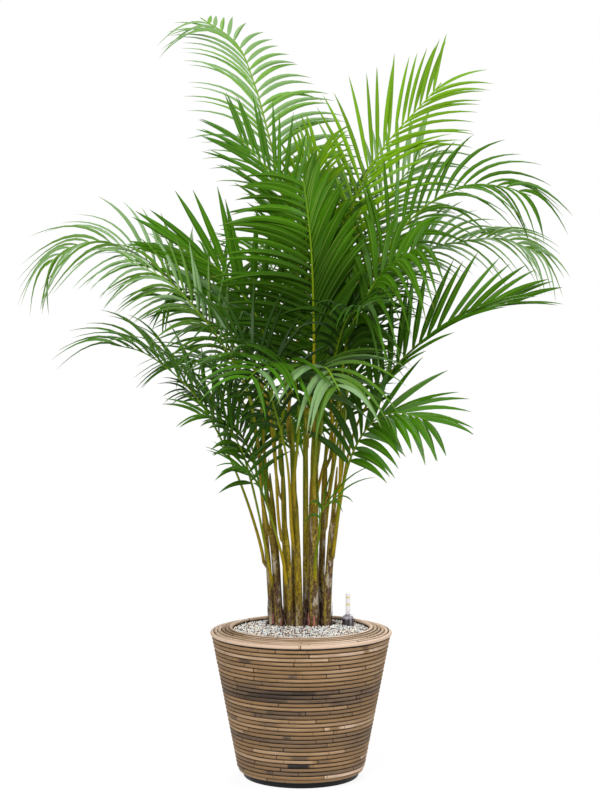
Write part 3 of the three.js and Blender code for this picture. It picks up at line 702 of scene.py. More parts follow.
class PALM_PG_plant(bpy.types.PropertyGroup):
    """Sizes and colours of the plant."""

    # Painted light and shade: the leaf greens are lit and shaded copies of one green; bright, fresh and pale
    # are lighter for the light on them, and dark is darker for the shade of the other fronds.
    bright: colour_setting("Bright leaf", "#6c9a00", "Young fronds with the light through them")
    green: colour_setting("Green leaf", "#3f7000", "The usual fronds")
    dark: colour_setting("Dark leaf", "#2b5600", "Old fronds in the shade of the others")
    fresh: colour_setting("Fresh leaf", "#407500", "Full-grown fronds in the light")
    pale: colour_setting("Pale leaf", "#5c8c1c", "Fronds that face the light")
    stalk: colour_setting("Stalk", "#667a06", "The rachis and the upper stalk")
    stalk_foot: colour_setting("Stalk foot", "#96800a", "The orange-yellow foot of a stalk")
    cane_top: colour_setting("Young cane", "#5c6a06", "The green upper part of a cane")
    cane_middle: colour_setting("Cane", "#86720a", "The speckled middle of a cane")
    cane_foot: colour_setting("Old cane", "#5d4638", "The old brown foot of a cane")
    thickness: length_setting("Leaflet thickness", 0.5, "Thickness of a leaflet")
    fold: FloatProperty(
        name="Fold", description="How far a leaflet's halves fold down from its midrib",
        subtype="ANGLE", default=math.radians(32), min=0, max=math.radians(80),
    )


class PALM_PG_studio(bpy.types.PropertyGroup):
    """The camera, the lights and the floor."""

    lens: FloatProperty(
        name="Lens", description="Focal length of the camera in millimetres", default=79.2, min=20,
    )
    sky: FloatProperty(
        name="Sky", description="Light that comes from the white surroundings", default=0.4, min=0,
    )
    key: FloatProperty(
        name="Key light", description="Power of the large front light in watts", default=180, min=0,
    )
    floor: colour_setting("Floor", "#fafafa", "The plain floor")


# ---- Leaves -----------------------------------------------------------------------------------

LEAFLET_SHARES = (0, 0.05, 0.13, 0.24, 0.37, 0.51, 0.65, 0.79, 0.91, 1)
LEAFLET_WIDTHS = (0.34, 0.52, 0.8, 0.97, 1, 0.93, 0.77, 0.54, 0.27, 0.04)
STALK_SIDES = 8
STALK_RINGS = 44

# Of each tone, the colour of the light through a leaf, and its share of painted greyish sheen, which
# also sets its painted highlight on high leaves and its specular level.
TONES = {
    "bright": ((0.42, 0.62, 0.01), 0.15),
    "green": ((0.18, 0.36, 0.005), 0.12),
    "dark": ((0.1, 0.22, 0.005), 0.2),
    "pale": ((0.3, 0.48, 0.06), 0.8),
    "fresh": ((0.25, 0.45, 0.01), 0.25),
}

# The shaded heart of the crown: its middle on each axis in metres, and one over its half width there.
HEART = (("X", 0, 3.8), ("Y", 0, 4.0), ("Z", 0.98, 3.3))

# The grey-green of the painted sheen.
SHEEN_GREY = (0.3, 0.45, 0.25)
MIDRIB = (0.36, 0.47, 0.1)
DRY_TIP = (0.33, 0.24, 0.07)
FRECKLE = (0.1, 0.06, 0.01)


def leaf_finish(name, colour, plant, glow, sheen_share):
    """Leaf green with a pale midrib, fine veins, its own tint and dry tips, painted highlight on the higher
    leaves, painted greyish sheen, painted shade in the crown's heart, and the stalk's skin.
    """
    finish = Finish(name)
    along = finish.attribute("along")
    across = finish.attribute("across")
    tint = finish.attribute("tint")
    stalk = finish.attribute("stalk")
    veins = finish.noise(finish.vector(along * 2.5, across * 7, tint * 40), 1.0, detail=3)
    cloud = finish.noise(finish.place(), 9)
    deep = [channel * 0.62 for channel in colour]
    light = [min(1, channel * 1.5 + 0.004) for channel in colour]
    green = finish.mixed((tint * 0.55 + veins * 0.35 + cloud * 0.5 - 0.2).clamped(), deep, light)
    # Painted highlight: the higher leaves are made lighter, as if lit from above, by the tone's share of
    # painted sheen.
    sunlit = [min(1, channel * 1.7 + 0.08) for channel in colour]
    green = finish.mixed(finish.axis("Z").step(1.3, 1.7) * sheen_share, green, sunlit)
    # Painted sheen: a greyish painted reflection on some leaflets.
    sheen_mask = (tint + cloud * 0.6).step(1.35 - sheen_share, 1.6 - sheen_share)
    green = finish.mixed(sheen_mask * 0.6, green, SHEEN_GREY)
    green = finish.mixed(across.step(0.13, 0.02) * 0.4, green, MIDRIB)
    # Painted shade: leaves in the heart of the crown are darkened.
    away = sum(((finish.axis(axis) - middle) * reach) ** 2 for axis, middle, reach in HEART)
    green = finish.mixed(away.step(1.4, 0.3) * 0.8, green, [channel * 0.3 for channel in colour])
    dry = along.step(0.9, 1.02) * tint.step(0.35, 0.8) * 0.75
    green = finish.mixed(dry, green, DRY_TIP)
    stem = finish.mixed((along + tint * 0.5).step(0.25, 0.65), plant.stalk_foot, plant.stalk)
    stem = finish.mixed(along.step(0.5, 0.95) * 0.6, stem, light)
    freckle = finish.noise(finish.place((1, 1, 0.5)), 220, detail=3, roughness=0.7)
    stem = finish.mixed(freckle.step(0.53, 0.62) * along.step(0.4, 0.05) * 0.7, stem, FRECKLE)
    stem = finish.mixed(along.step(0.075, 0.01), stem, cane_skin(finish, plant, tint))
    skin = finish.surface(
        Base_Color=finish.mixed(stalk, green, stem),
        Specular_IOR_Level=0.1 + 0.25 * sheen_share,
        Roughness=0.36 + veins * 0.18,
        Normal=finish.bump(veins, 0.0006, 0.35),
    )
    through = finish.node("ShaderNodeBsdfTranslucent", None, {"Color": four(glow)})
    both = finish.node("ShaderNodeMixShader", None, {0: 0.3 - stalk * 0.3, 1: skin, 2: through})
    return finish.done(both)


@dataclass
class Leaflet:
    """A leaflet's root, its directions along, across and over it, its length and half its width.

    sag is how far its tip hangs down from the straight, as a share of its length.
    """

    root: Vector
    way: Vector
    across: Vector
    over: Vector
    length: float
    half: float
    sag: Vector
    tint: float


def leaflet_plan(frond, stem, draw):
    """The leaflets of a frond, in pairs from its foot to its tip."""
    plan = []
    pairs = max(4, round(stem.route.length * (1 - frond.bare) / frond.pitch))
    for pair in range(pairs):
        for hand in (-1, 1):
            q = (pair + 0.5 + hand * 0.2 + draw.uniform(-0.12, 0.12)) / pairs
            u = mix(frond.bare, 0.985, q)
            at, forward, up, side = stem.frame(u)
            angle = math.radians(mix(*frond.spread, q) - hand * frond.skew + draw.gauss(0, 3))
            vee = math.radians(frond.vee + draw.gauss(0, 5))
            kept = mix(1, frond.tip, q * q) if hand > 0 else 1
            length = frond.blade * kept * (0.45 + 0.55 * math.sin(math.pi * mix(0.2, 0.92, q)))
            length *= draw.uniform(0.93, 1.03)
            droop = frond.sag * mix(0.55, 1, q) * draw.uniform(0.8, 1.15)
            aside = side * hand * math.cos(vee) + up * math.sin(vee)
            way = forward * math.cos(angle) + aside * math.sin(angle)
            across = (forward - way * forward.dot(way)).normalized()
            across.rotate(Matrix.Rotation(math.radians(draw.gauss(0, 9)), 3, way))
            over = way.cross(across) * hand
            root = at + side * hand * stalk_radius(u) * 0.5 + up * stalk_radius(u) * 0.2
            half = frond.blade * frond.width * mix(0.72, 1, length / frond.blade) / 2
            if hand > 0:
                half *= frond.right
            sag = (way * way.z - UP) * droop
            while not fits(root, way, length, sag):
                length *= 0.97
            plan.append(Leaflet(root, way, across, over, length, half, sag, draw.random()))
    return plan


def stalk_radius(u):
    return mix(STALK_R, STALK_TIP_R, u**0.8)


def fits(root, way, length, sag):
    """Whether a leaflet's tip lies inside the CAD model's box."""
    tip = (root + (way + sag) * length) * MM
    return all(low <= value <= high for low, value, high in zip(cad_low, tip, cad_high))


def make_frond(number, frond, plant, material):
    draw = random.Random(number)
    stem = Stem(frond)
    bm, along_of, across_of, tint_of, stalk_of = new_mesh("along", "across", "tint", "stalk")
    warmth = draw.random()

    def put_stalk(vert, strip, column, step):
        u = step / (STALK_RINGS - 1)
        at, _, up, side = stem.frame(u)
        angle = math.tau * (column + 0.5) / STALK_SIDES
        radius = stalk_radius(u)
        if step == 0:
            at = at + stem.sunk
        vert.co = at + side * math.cos(angle) * radius + up * math.sin(angle) * radius * 0.8
        vert[along_of] = u
        vert[tint_of] = warmth
        vert[stalk_of] = 1

    swept(bm, 1, STALK_SIDES, STALK_RINGS, put_stalk, closed=True)

    plan = leaflet_plan(frond, stem, draw)
    fold = math.tan(plant.fold)

    def put_leaflet(vert, strip, column, step):
        leaf = plan[strip]
        share = LEAFLET_SHARES[step]
        half = leaf.half * LEAFLET_WIDTHS[step]
        edge = column - 1
        heading = leaf.way + leaf.sag * share + UP * frond.arch * (1 - share)
        middle = leaf.root + heading * leaf.length * share
        vert.co = middle + leaf.across * edge * half - leaf.over * abs(edge) * half * fold
        vert[along_of] = share
        vert[across_of] = abs(edge)
        vert[tint_of] = leaf.tint

    blades = swept(bm, len(plan), 3, len(LEAFLET_SHARES), put_leaflet)
    bmesh.ops.solidify(bm, geom=blades, thickness=plant.thickness / MM)
    node = f"frond_{number:02d}"
    make_piece(bm, f"palm_{node}", [node], material, sharp=28)


class PALM_OT_fronds(bpy.types.Operator):
    """Makes every frond: its stalk, its rachis and its leaflets"""

    bl_idname = "palm.fronds"
    bl_label = "Add fronds"

    def execute(self, context):
        plant = context.scene.palm_plant
        finishes = {
            tone: leaf_finish(f"leaf {tone}", getattr(plant, tone), plant, glow, sheen_share)
            for tone, (glow, sheen_share) in TONES.items()
        }
        for number, frond in enumerate(FRONDS, start=1):
            make_frond(number, frond, plant, finishes[frond.tone])
        return {"FINISHED"}


# ---- Canes ------------------------------------------------------------------------------------

CANE_SIDES = 14
CANE_SHARES = (0, 0.01, *(i / 40 for i in range(1, 40)), 0.995, 1)  # where a cane's rings of corners lie
STREAK = (0.44, 0.34, 0.025)
DARK_SPECK = (0.05, 0.027, 0.009)
PALE_SPOT = (0.3, 0.24, 0.03)
LICHEN = (0.45, 0.4, 0.32)


def cane_skin(finish, plant, tint):
    """Colour of a sheathed cane: green above, ochre with brown specks lower down, brown at its foot."""
    height = finish.axis("Z")
    patch = finish.noise(finish.place((1, 1, 0.3)), 26, detail=3)
    level = height + (tint - 0.5) * 0.2 + (patch - 0.5) * 0.34
    skin = finish.mixed(level.step(0.4, 0.58), plant.cane_foot, plant.cane_middle)
    skin = finish.mixed(level.step(0.55, 0.85), skin, plant.cane_top)
    streak = finish.noise(finish.place((1, 1, 0.07)), 150)
    skin = finish.mixed(streak.step(0.48, 0.66) * 0.65, skin, STREAK)
    speck = finish.noise(finish.place((1, 1, 0.6)), 260, detail=3, roughness=0.7)
    speckled = speck.step(0.46, 0.54) * level.step(0.95, 0.45)
    skin = finish.mixed(speckled * 0.8, skin, DARK_SPECK)
    spot = finish.noise(finish.place((1, 1, 0.5)), 190)
    skin = finish.mixed(spot.step(0.56, 0.66) * level.step(0.58, 0.4) * 0.6, skin, PALE_SPOT)
    lichen = finish.noise(finish.place((1, 1, 0.35)), 60, detail=5, roughness=0.7)
    return finish.mixed(lichen.step(0.54, 0.64) * level.step(0.62, 0.42) * 0.75, skin, LICHEN)


def cane_finish(plant):
    """The skin of the canes, with a fine roughness."""
    finish = Finish("cane")
    rough = finish.noise(finish.place((1, 1, 0.25)), 90, detail=4, roughness=0.65)
    return finish.plain(
        Base_Color=cane_skin(finish, plant, finish.attribute("tint")),
        Specular_IOR_Level=0.15,
        Roughness=0.45 + rough * 0.35,
        Normal=finish.bump(rough, 0.0015, 0.7),
    )


def make_cane(number, cane, material):
    draw = random.Random(100 + number)
    bm, tint_of = new_mesh("tint")
    route = cane_route(cane)
    tint = draw.random()

    def put(vert, strip, column, step):
        t = CANE_SHARES[step]
        angle = math.tau * column / CANE_SIDES
        at = route.at(t)
        bump = noise.noise(Vector((math.cos(angle), math.sin(angle), at.z * 0.02 + number * 7)))
        radius = cane_radius(cane, t) * (0.98 + 0.05 * bump)
        if step == len(CANE_SHARES) - 1:
            radius *= 0.6
            at = at + UP * cane.radius * 0.6
        vert.co = at + Vector((math.cos(angle), math.sin(angle), 0)) * radius
        vert[tint_of] = tint

    swept(bm, 1, CANE_SIDES, len(CANE_SHARES), put, closed=True)
    node = f"cane_{number:02d}"
    make_piece(bm, f"palm_{node}", [node], material)


class PALM_OT_canes(bpy.types.Operator):
    """Makes the canes of the clump"""

    bl_idname = "palm.canes"
    bl_label = "Add canes"

    def execute(self, context):
        material = cane_finish(context.scene.palm_plant)
        for number, cane in enumerate(CANES, start=1):
            make_cane(number, cane, material)
        return {"FINISHED"}


# ---- Planter ----------------------------------------------------------------------------------

POLE_SIDES = 12

# Where a pole's rings of corners lie, crowded at its ends.
POLE_SHARES = (0, 0, 0.006, *(0.02 + 0.96 * i / 49 for i in range(50)), 0.994, 1, 1)


def rattan_finish(planter):
    """Rattan skin, streaked along the poles and darker where shade says so, with painted shade in the
    grooves between the poles and dark joint ends.
    """
    finish = Finish("rattan")
    along, around, shade, end, tint = (
        finish.attribute(name) for name in ("along", "around", "shade", "end", "tint")
    )
    grain = finish.noise(finish.vector(along * 14, around * 9, tint * 50), 1.0, detail=3, roughness=0.6)
    cloud = finish.noise(finish.vector(along * 5, around * 1.2, tint * 90), 1.0, detail=3)
    fleck = finish.noise(finish.vector(along * 30, around * 10, tint * 30), 1.0, detail=3, roughness=0.65)
    depth = shade + (cloud - 0.5) * 0.6 + (grain - 0.5) * 0.45
    depth = depth + fleck.step(0.6, 0.7) * cloud.step(0.42, 0.6) * 0.45
    depth = depth + end * 0.3
    knot = ((along * 5.2 + tint) % 1).step(0.018, 0.0)
    depth = (depth + knot * 0.3).clamped()
    skin = finish.ramp(depth, [
        (0.0, planter.rim), (0.14, planter.pale), (0.34, planter.tan), (0.58, planter.grey),
        (0.84, planter.brown), (1.0, planter.black),
    ])
    # Painted shade in the grooves between the poles, away from each pole's lit side, added to the real dark
    # ends at the joints.
    grime = around.step(0.19, 0.36) * 0.97 + end.step(0.4, 1.0) * 0.5
    skin = finish.mixed(grime.clamped(), skin, planter.black)
    return finish.plain(
        Base_Color=skin,
        Specular_IOR_Level=0.3,
        Roughness=0.42 + grain * 0.25,
        Normal=finish.bump(grain + fleck * 0.4, 0.0008),
    )


@dataclass
class Pole:
    """One length of rattan bent round the planter, from one angle to another, in degrees from the front.

    face is the way that its lit side looks, where no shade is painted: 180 is outwards and 90
    upwards. The last field is how near to that side the painted shade of the grooves comes.
    """

    radius: float
    z: float
    start: float
    end: float
    shade: float
    row: int
    tint: float
    thick: float = POLE_R
    face: float = 180
    grime: float = 1


def dark_extra(row, degrees):
    """How much darker the pole in a row is at an angle."""
    extra = 0
    for dark_row, start, end, more in DARK_LENGTHS:
        if row == dark_row:
            risen = smoothstep(degrees, start - 1, start + 1)
            fallen = smoothstep(degrees, end - 2, end + 2)
            extra += more * risen * (1 - fallen)
    return extra


def bent_poles(poles, waviness):
    """All the poles of a wall or rim as one bmesh of bent tubes."""
    bm, along_of, around_of, shade_of, end_of, tint_of = new_mesh(
        "along", "around", "shade", "end", "tint",
    )

    def put(vert, strip, column, step):
        pole = poles[strip]
        degrees = mix(pole.start, pole.end, POLE_SHARES[step])
        angle = math.radians(degrees - 90)
        turn = math.tau * column / POLE_SIDES
        stray = Vector((math.cos(angle) * 3, math.sin(angle) * 3, pole.row * 5.3 + pole.tint * 9))
        lift = noise.noise(stray) * waviness
        bulge = 1 + 0.05 * noise.noise(stray * 4)
        capped = step in (0, len(POLE_SHARES) - 1)
        thick = pole.thick * bulge * (0.82 if capped else 1)
        radius = pole.radius + lift + thick * math.cos(turn + math.pi)
        height = pole.z + lift + thick * math.sin(turn)
        vert.co = (radius * math.cos(angle), radius * math.sin(angle), height)
        vert[along_of] = math.radians(degrees) * pole.radius * MM
        # How far round a corner lies from the pole's lit side; it places the painted shade of the grooves.
        vert[around_of] = abs((column / POLE_SIDES - pole.face / 360 + 0.5) % 1 - 0.5) * 2 * pole.grime
        vert[shade_of] = pole.shade + dark_extra(pole.row, degrees)
        vert[end_of] = 1 if POLE_SHARES[step] in (0, 1) else 0
        vert[tint_of] = pole.tint

    swept(bm, len(poles), POLE_SIDES, len(POLE_SHARES), put, closed=True)
    return bm


def laid_row(draw, radius, z, shade, row, joints, **more):
    """A ring of poles laid end to end, with a hair's gap at each joint."""
    first = draw.uniform(0, 360)
    cuts = [first + 360 * (i + draw.uniform(-0.22, 0.22)) / joints for i in range(joints)]
    cuts.append(cuts[0] + 360)
    gap = math.degrees(0.8 / radius)
    poles = []
    for start, end in zip(cuts, cuts[1:]):
        own = shade + draw.gauss(0, 0.09)
        poles.append(Pole(radius, z, start - 360, end - gap - 360, own, row, draw.random(), **more))
    return poles


class PALM_OT_wall(bpy.types.Operator):
    """Makes the rattan poles that are laid round the tub"""

    bl_idname = "palm.wall"
    bl_label = "Add rattan wall"

    def execute(self, context):
        planter = context.scene.palm_planter
        draw = random.Random(21)
        poles = []
        for row in range(WALL_ROWS):
            share = row / (WALL_ROWS - 2)
            radius, z = (mix(a, b, share) for a, b in zip(TOP_ROW, LOW_ROW))
            if row == WALL_ROWS - 1:
                radius, z = FOOT_ROW
            shade = mix(0.14, 1, ROW_SHADES[row])
            poles += laid_row(draw, radius, z, shade, row, draw.choice((3, 4, 4, 5)))
        bm = bent_poles(poles, planter.waviness / MM)
        make_piece(bm, "planter_wall", ["rattan_wall"], rattan_finish(planter))
        return {"FINISHED"}


class PALM_OT_rim(bpy.types.Operator):
    """Makes the flat ring of poles that closes the planter's top, on its dark board"""

    bl_idname = "palm.rim"
    bl_label = "Add rattan rim"

    def execute(self, context):
        planter = context.scene.palm_planter
        draw = random.Random(5)
        poles = []
        for coil, (shade, face, grime) in enumerate(RIM_COILS):
            radius = RIM_OUTER[0] + RIM_STEP[0] * coil
            z = RIM_OUTER[1] + RIM_STEP[1] * coil
            poles += laid_row(
                draw, radius, z, shade, RIM_FIRST_ROW + coil, RIM_JOINTS,
                thick=RIM_POLE_R, face=face, grime=grime,
            )
        coils = bent_poles(poles, planter.waviness / MM * 0.4)
        outer = RIM_OUTER[0] - 1
        inner = RIM_OUTER[0] + RIM_STEP[0] * (len(RIM_COILS) - 1) - 1
        board = turned([
            (inner, RIM_UNDER_Z), (outer, RIM_UNDER_Z), (outer, RIM_OUTER[1]), (inner, RIM_OUTER[1] + 12),
            (inner, RIM_UNDER_Z),
        ], 96)
        layer = board.verts.layers.float.new("shade")
        for vert in board.verts:
            vert[layer] = 0.95
        whole = joined([coils, board])
        make_piece(whole, "planter_rim", ["rattan_rim"], rattan_finish(planter))
        return {"FINISHED"}


def plastic_finish(planter):
    """Black plastic with a dull, slightly scuffed skin."""
    finish = Finish("black plastic")
    dust = finish.noise(finish.place((1, 1, 2)), 40, detail=4)
    worn = [channel * 1.9 for channel in planter.plastic]
    return finish.plain(
        Base_Color=finish.mixed(dust.step(0.45, 0.75) * 0.5, planter.plastic, worn),
        Specular_IOR_Level=0.2,
        Roughness=0.45 + dust * 0.2,
        Normal=finish.bump(finish.noise(finish.place(), 900, detail=1), 0.0002, 0.3),
    )


class PALM_OT_tub(bpy.types.Operator):
    """Makes the black tub under the rattan and the black liner in it"""

    bl_idname = "palm.tub"
    bl_label = "Add tub and liner"

    def execute(self, context):
        material = plastic_finish(context.scene.palm_planter)
        lip_r, lip_z = TUB_LIP
        bend_r, bend_z = TUB_BEND
        tub = turned([
            (0, 1.5), (118, 1.5), (121, 0), (132, 0), (134.6, 0.8), (136, 2.6), TUB_FOOT, TUB_BEND,
            TUB_LIP, (lip_r - TUB_WALL, lip_z), (bend_r - TUB_WALL, bend_z), (130, 6), (0, 6),
        ], 120)
        make_piece(tub, "planter_tub", ["tub"], material)
        top_r, top_z = LINER_TOP
        foot_r, foot_z = LINER_FOOT
        liner = turned([
            (0, foot_z), (foot_r - 2, foot_z), (foot_r, foot_z + 2),
            (top_r - 0.8, top_z - 0.8), (top_r - 1.2, top_z),
            (top_r - LINER_WALL + 0.4, top_z), (top_r - LINER_WALL, top_z - 0.6),
            (foot_r - LINER_WALL, foot_z + 3), (0, foot_z + LINER_WALL),
        ], 120)
        make_piece(liner, "planter_liner", ["liner"], material)
        return {"FINISHED"}


# ---- Soil and gravel --------------------------------------------------------------------------

ROOT_BROWN = (0.2, 0.115, 0.05)
WET_BROWN = (0.03, 0.018, 0.01)
DUST = (0.3, 0.25, 0.22)
STRAND_STEPS = 7


def soil_finish(planter):
    """Dark fibrous compost."""
    finish = Finish("soil")
    clump = finish.noise(finish.place(), 90, detail=5, roughness=0.7)
    fibre = finish.noise(finish.place((1, 1, 0.2)), 220, detail=3)
    damp = [channel * 0.35 for channel in planter.soil]
    skin = finish.mixed(clump.step(0.35, 0.6), damp, planter.soil)
    skin = finish.mixed(fibre.step(0.56, 0.72) * 0.6, skin, ROOT_BROWN)
    relief = finish.bump(clump + fibre * 0.5, 0.004, 1.0)
    return finish.plain(Base_Color=skin, Roughness=0.85 + clump * 0.1, Normal=relief)


def fibre_finish():
    """Dead sheaths and roots: brown with pinkish and straw-coloured ones among them."""
    finish = Finish("dead sheath")
    tint = finish.attribute("tint")
    streak = finish.noise(finish.place((1, 1, 0.1)), 200, detail=3)
    skin = finish.ramp(tint, [
        (0.0, linear("#2a1a12")), (0.45, linear("#4a3020")), (0.72, linear("#6d4d33")),
        (0.86, linear("#8c7a5e")), (1.0, linear("#a8625c")),
    ])
    skin = finish.mixed(streak.step(0.5, 0.7) * 0.5, skin, WET_BROWN)
    return finish.plain(Base_Color=skin, Roughness=0.8, Normal=finish.bump(streak, 0.001, 0.8))


def crown_top(x, y):
    """Height of the rooted crown's surface, or None beside it."""
    cx, cy, rx, ry, top = CROWN
    away = math.hypot((x - cx) / rx, (y - cy) / ry)
    if away > 1:
        return None
    bumps = noise.fractal(Vector((x, y, 3)) * 0.07, 0.8, 2.1, 4) * 5
    return top + 1 + bumps - 22 * away**6


class PALM_OT_soil(bpy.types.Operator):
    """Makes the root ball, its bare crown, and the dead sheaths and roots on it"""

    bl_idname = "palm.soil"
    bl_label = "Add soil"

    def execute(self, context):
        planter = context.scene.palm_planter
        ball = turned([(0, 9.4), (123.6, 9.4), (155.6, SOIL_Z), (0, SOIL_Z)], 96)
        cx, cy, rx, ry, top = CROWN
        crown = turned([(0, SOIL_Z - 10), (1, SOIL_Z - 10), *((1 - i / 26, top) for i in range(27))], 90)
        bmesh.ops.scale(crown, vec=(rx, ry, 1), verts=crown.verts)
        bmesh.ops.translate(crown, vec=(cx, cy, 0), verts=crown.verts)
        for vert in crown.verts:
            if vert.co.z > SOIL_Z:
                x, y = cx + (vert.co.x - cx) * 0.999, cy + (vert.co.y - cy) * 0.999
                vert.co.z = crown_top(x, y)
        whole = joined([ball, crown])
        make_piece(whole, "soil_and_crown", ["root_ball"], soil_finish(planter), sharp=80)
        self.add_fibres()
        return {"FINISHED"}

    def add_fibres(self):
        """Strands that stand round the canes and lie on the crown."""
        draw = random.Random(8)
        strands = []
        for cane in CANES:
            for _ in range(STRANDS_PER_CANE):
                angle = draw.uniform(0, math.tau)
                out = Vector((math.cos(angle), math.sin(angle), 0))
                foot = Vector((*cane.at, STRAND_FOOT_Z)) + out * (cane.radius + draw.uniform(0.5, 5))
                height = draw.uniform(15, 60)
                lean = out * draw.uniform(-3, 6)
                lean += Vector((draw.uniform(-4, 4), draw.uniform(-4, 4), height))
                strands.append((foot, lean, draw.uniform(0.8, 3.6), out, draw.random() ** 1.5))
        for x, y, width, height in PINK_STUBS:
            strands.append((Vector((x, y, STRAND_FOOT_Z)), UP * height, width, FRONT, 1))
        bm, tint_of = new_mesh("tint")

        def put(vert, strip, column, step):
            foot, lean, width, out, tint = strands[strip]
            share = step / (STRAND_STEPS - 1)
            aside = out.cross(UP)
            middle = foot + lean * share + out * math.sin(share * 3) * 2
            half = width * (1 - share**2 * 0.8)
            vert.co = middle + aside * (column - 1) * half - out * abs(column - 1) * half * 0.5
            vert[tint_of] = tint

        blades = swept(bm, len(strands), 3, STRAND_STEPS, put)
        bmesh.ops.solidify(bm, geom=blades, thickness=0.6)
        make_piece(bm, "dead_sheaths", ["root_ball"], fibre_finish())


def gravel_finish():
    """Grit of cream, white, pale blue and mauve-brown grains."""
    finish = Finish("gravel")
    tint = finish.attribute("tint")
    dust = finish.noise(finish.place(), 700, detail=3)
    skin = finish.ramp(tint, [
        (0.0, linear("#4e3838")), (0.22, linear("#765b55")), (0.3, linear("#d8c6ae")),
        (0.46, linear("#ebdfce")), (0.6, linear("#c3d0d4")), (0.76, linear("#f6f4ee")),
        (0.9, linear("#d6ebf0")), (1.0, linear("#b8997f")),
    ])
    skin = finish.mixed(dust.step(0.5, 0.75) * 0.35, skin, DUST)
    return finish.plain(Base_Color=skin, Roughness=0.75, Normal=finish.bump(dust, 0.0006))


def gravel_height(x, y):
    """Height of the gravel's surface."""
    share = min(1, math.hypot(x, y) / GRAVEL_R)
    wave = 1.8 * math.sin(x * 0.31 + 1.3) * math.cos(y * 0.27 - 0.6) + 1.1 * math.sin(x * 0.53 - y * 0.47)
    return mix(GRAVEL_MIDDLE_Z, GRAVEL_EDGE_Z, share) + wave * 0.6 * (1 - share**8)


def grain_places(draw, grain):
    """Where the grains lie, each with its size: a jittered grid round the crown and the gauge."""
    places = []
    step = grain * 0.86
    rows = int(2 * GRAVEL_R / step)
    cx, cy, rx, ry, _ = CROWN
    for row in range(rows):
        for column in range(rows):
            x = (column - rows / 2 + (row % 2) * 0.5) * step + draw.uniform(-0.45, 0.45) * step
            y = (row - rows / 2) * step + draw.uniform(-0.45, 0.45) * step
            size = grain * draw.uniform(0.55, 1.15)
            in_rim = math.hypot(x, y) < GRAVEL_R - size / 2
            off_crown = math.hypot((x - cx) / (rx + 0.5), (y - cy) / (ry + 0.5)) > 1
            off_gauge = math.hypot(x - GAUGE_AT[0], y - GAUGE_AT[1]) > GAUGE_HOLE_R + size / 2
            if in_rim and off_crown and off_gauge:
                places.append((Vector((x, y, gravel_height(x, y) + draw.uniform(-1.6, 1.2))), size))
    return places


def repeated(bm, count):
    """Repeats the mesh in a bmesh until it is there count times. The strip layer numbers the copies."""
    strip_of = bm.verts.layers.int["strip"]
    made = 1
    while made < count:
        grown = bmesh.ops.duplicate(bm, geom=bm.verts[:] + bm.edges[:] + bm.faces[:])["geom"]
        for vert in (part for part in grown if isinstance(part, bmesh.types.BMVert)):
            vert[strip_of] += made
        made *= 2
    spare = [vert for vert in bm.verts if vert[strip_of] >= count]
    bmesh.ops.delete(bm, geom=spare, context="VERTS")


class PALM_OT_gravel(bpy.types.Operator):
    """Makes the bed of gravel, grain by grain"""

    bl_idname = "palm.gravel"
    bl_label = "Add gravel"

    def execute(self, context):
        whole = joined([self.grains(context.scene.palm_planter.grain / MM), self.bed()])
        make_piece(whole, "gravel_bed", ["gravel"], gravel_finish(), sharp=30)
        return {"FINISHED"}

    def grains(self, usual):
        """The single grains, each a bumpy ball of its own shape and tint."""
        draw = random.Random(77)
        places = grain_places(draw, usual)
        grains, tint_of = new_mesh("tint")
        bmesh.ops.create_icosphere(grains, subdivisions=1, radius=0.5)
        repeated(grains, len(places))
        strip_of = grains.verts.layers.int["strip"]
        turns = []
        for _, size in places:
            angle = draw.uniform(0, math.tau)
            spin = Matrix.Rotation(angle, 3, Vector((draw.gauss(0, 1), draw.gauss(0, 1), 1)))
            shape = Matrix.Diagonal((draw.uniform(0.8, 1.3), draw.uniform(0.7, 1.1), 0.75)) * size
            turns.append((spin @ shape, draw.random()))
        for vert in grains.verts:
            number = vert[strip_of]
            turn, tint = turns[number]
            vert.co = places[number][0] + turn @ (vert.co * draw.uniform(0.82, 1.15))
            vert[tint_of] = tint
        return grains

    def bed(self):
        """The solid bed under the grains, which dips under the crown."""
        lip_r = LINER_TOP[0]
        bed = turned([
            (0, BED_FLOOR_Z), (BED_R, BED_FLOOR_Z), (BED_R, BED_LIP_Z), (lip_r, BED_LIP_Z),
            *((lip_r * (1 - i / BED_RINGS), GRAVEL_EDGE_Z) for i in range(BED_RINGS + 1)),
        ], 120)
        cx, cy, rx, ry, _ = CROWN
        for vert in bed.verts:
            if vert.co.z > BED_LIP_Z + 1:
                vert.co.z = gravel_height(vert.co.x, vert.co.y) - BED_DEPTH
                if math.hypot((vert.co.x - cx) / rx, (vert.co.y - cy) / ry) < 1.04:
                    vert.co.z = BED_UNDER_CROWN_Z
        return bed


# ---- Water gauge ------------------------------------------------------------------------------


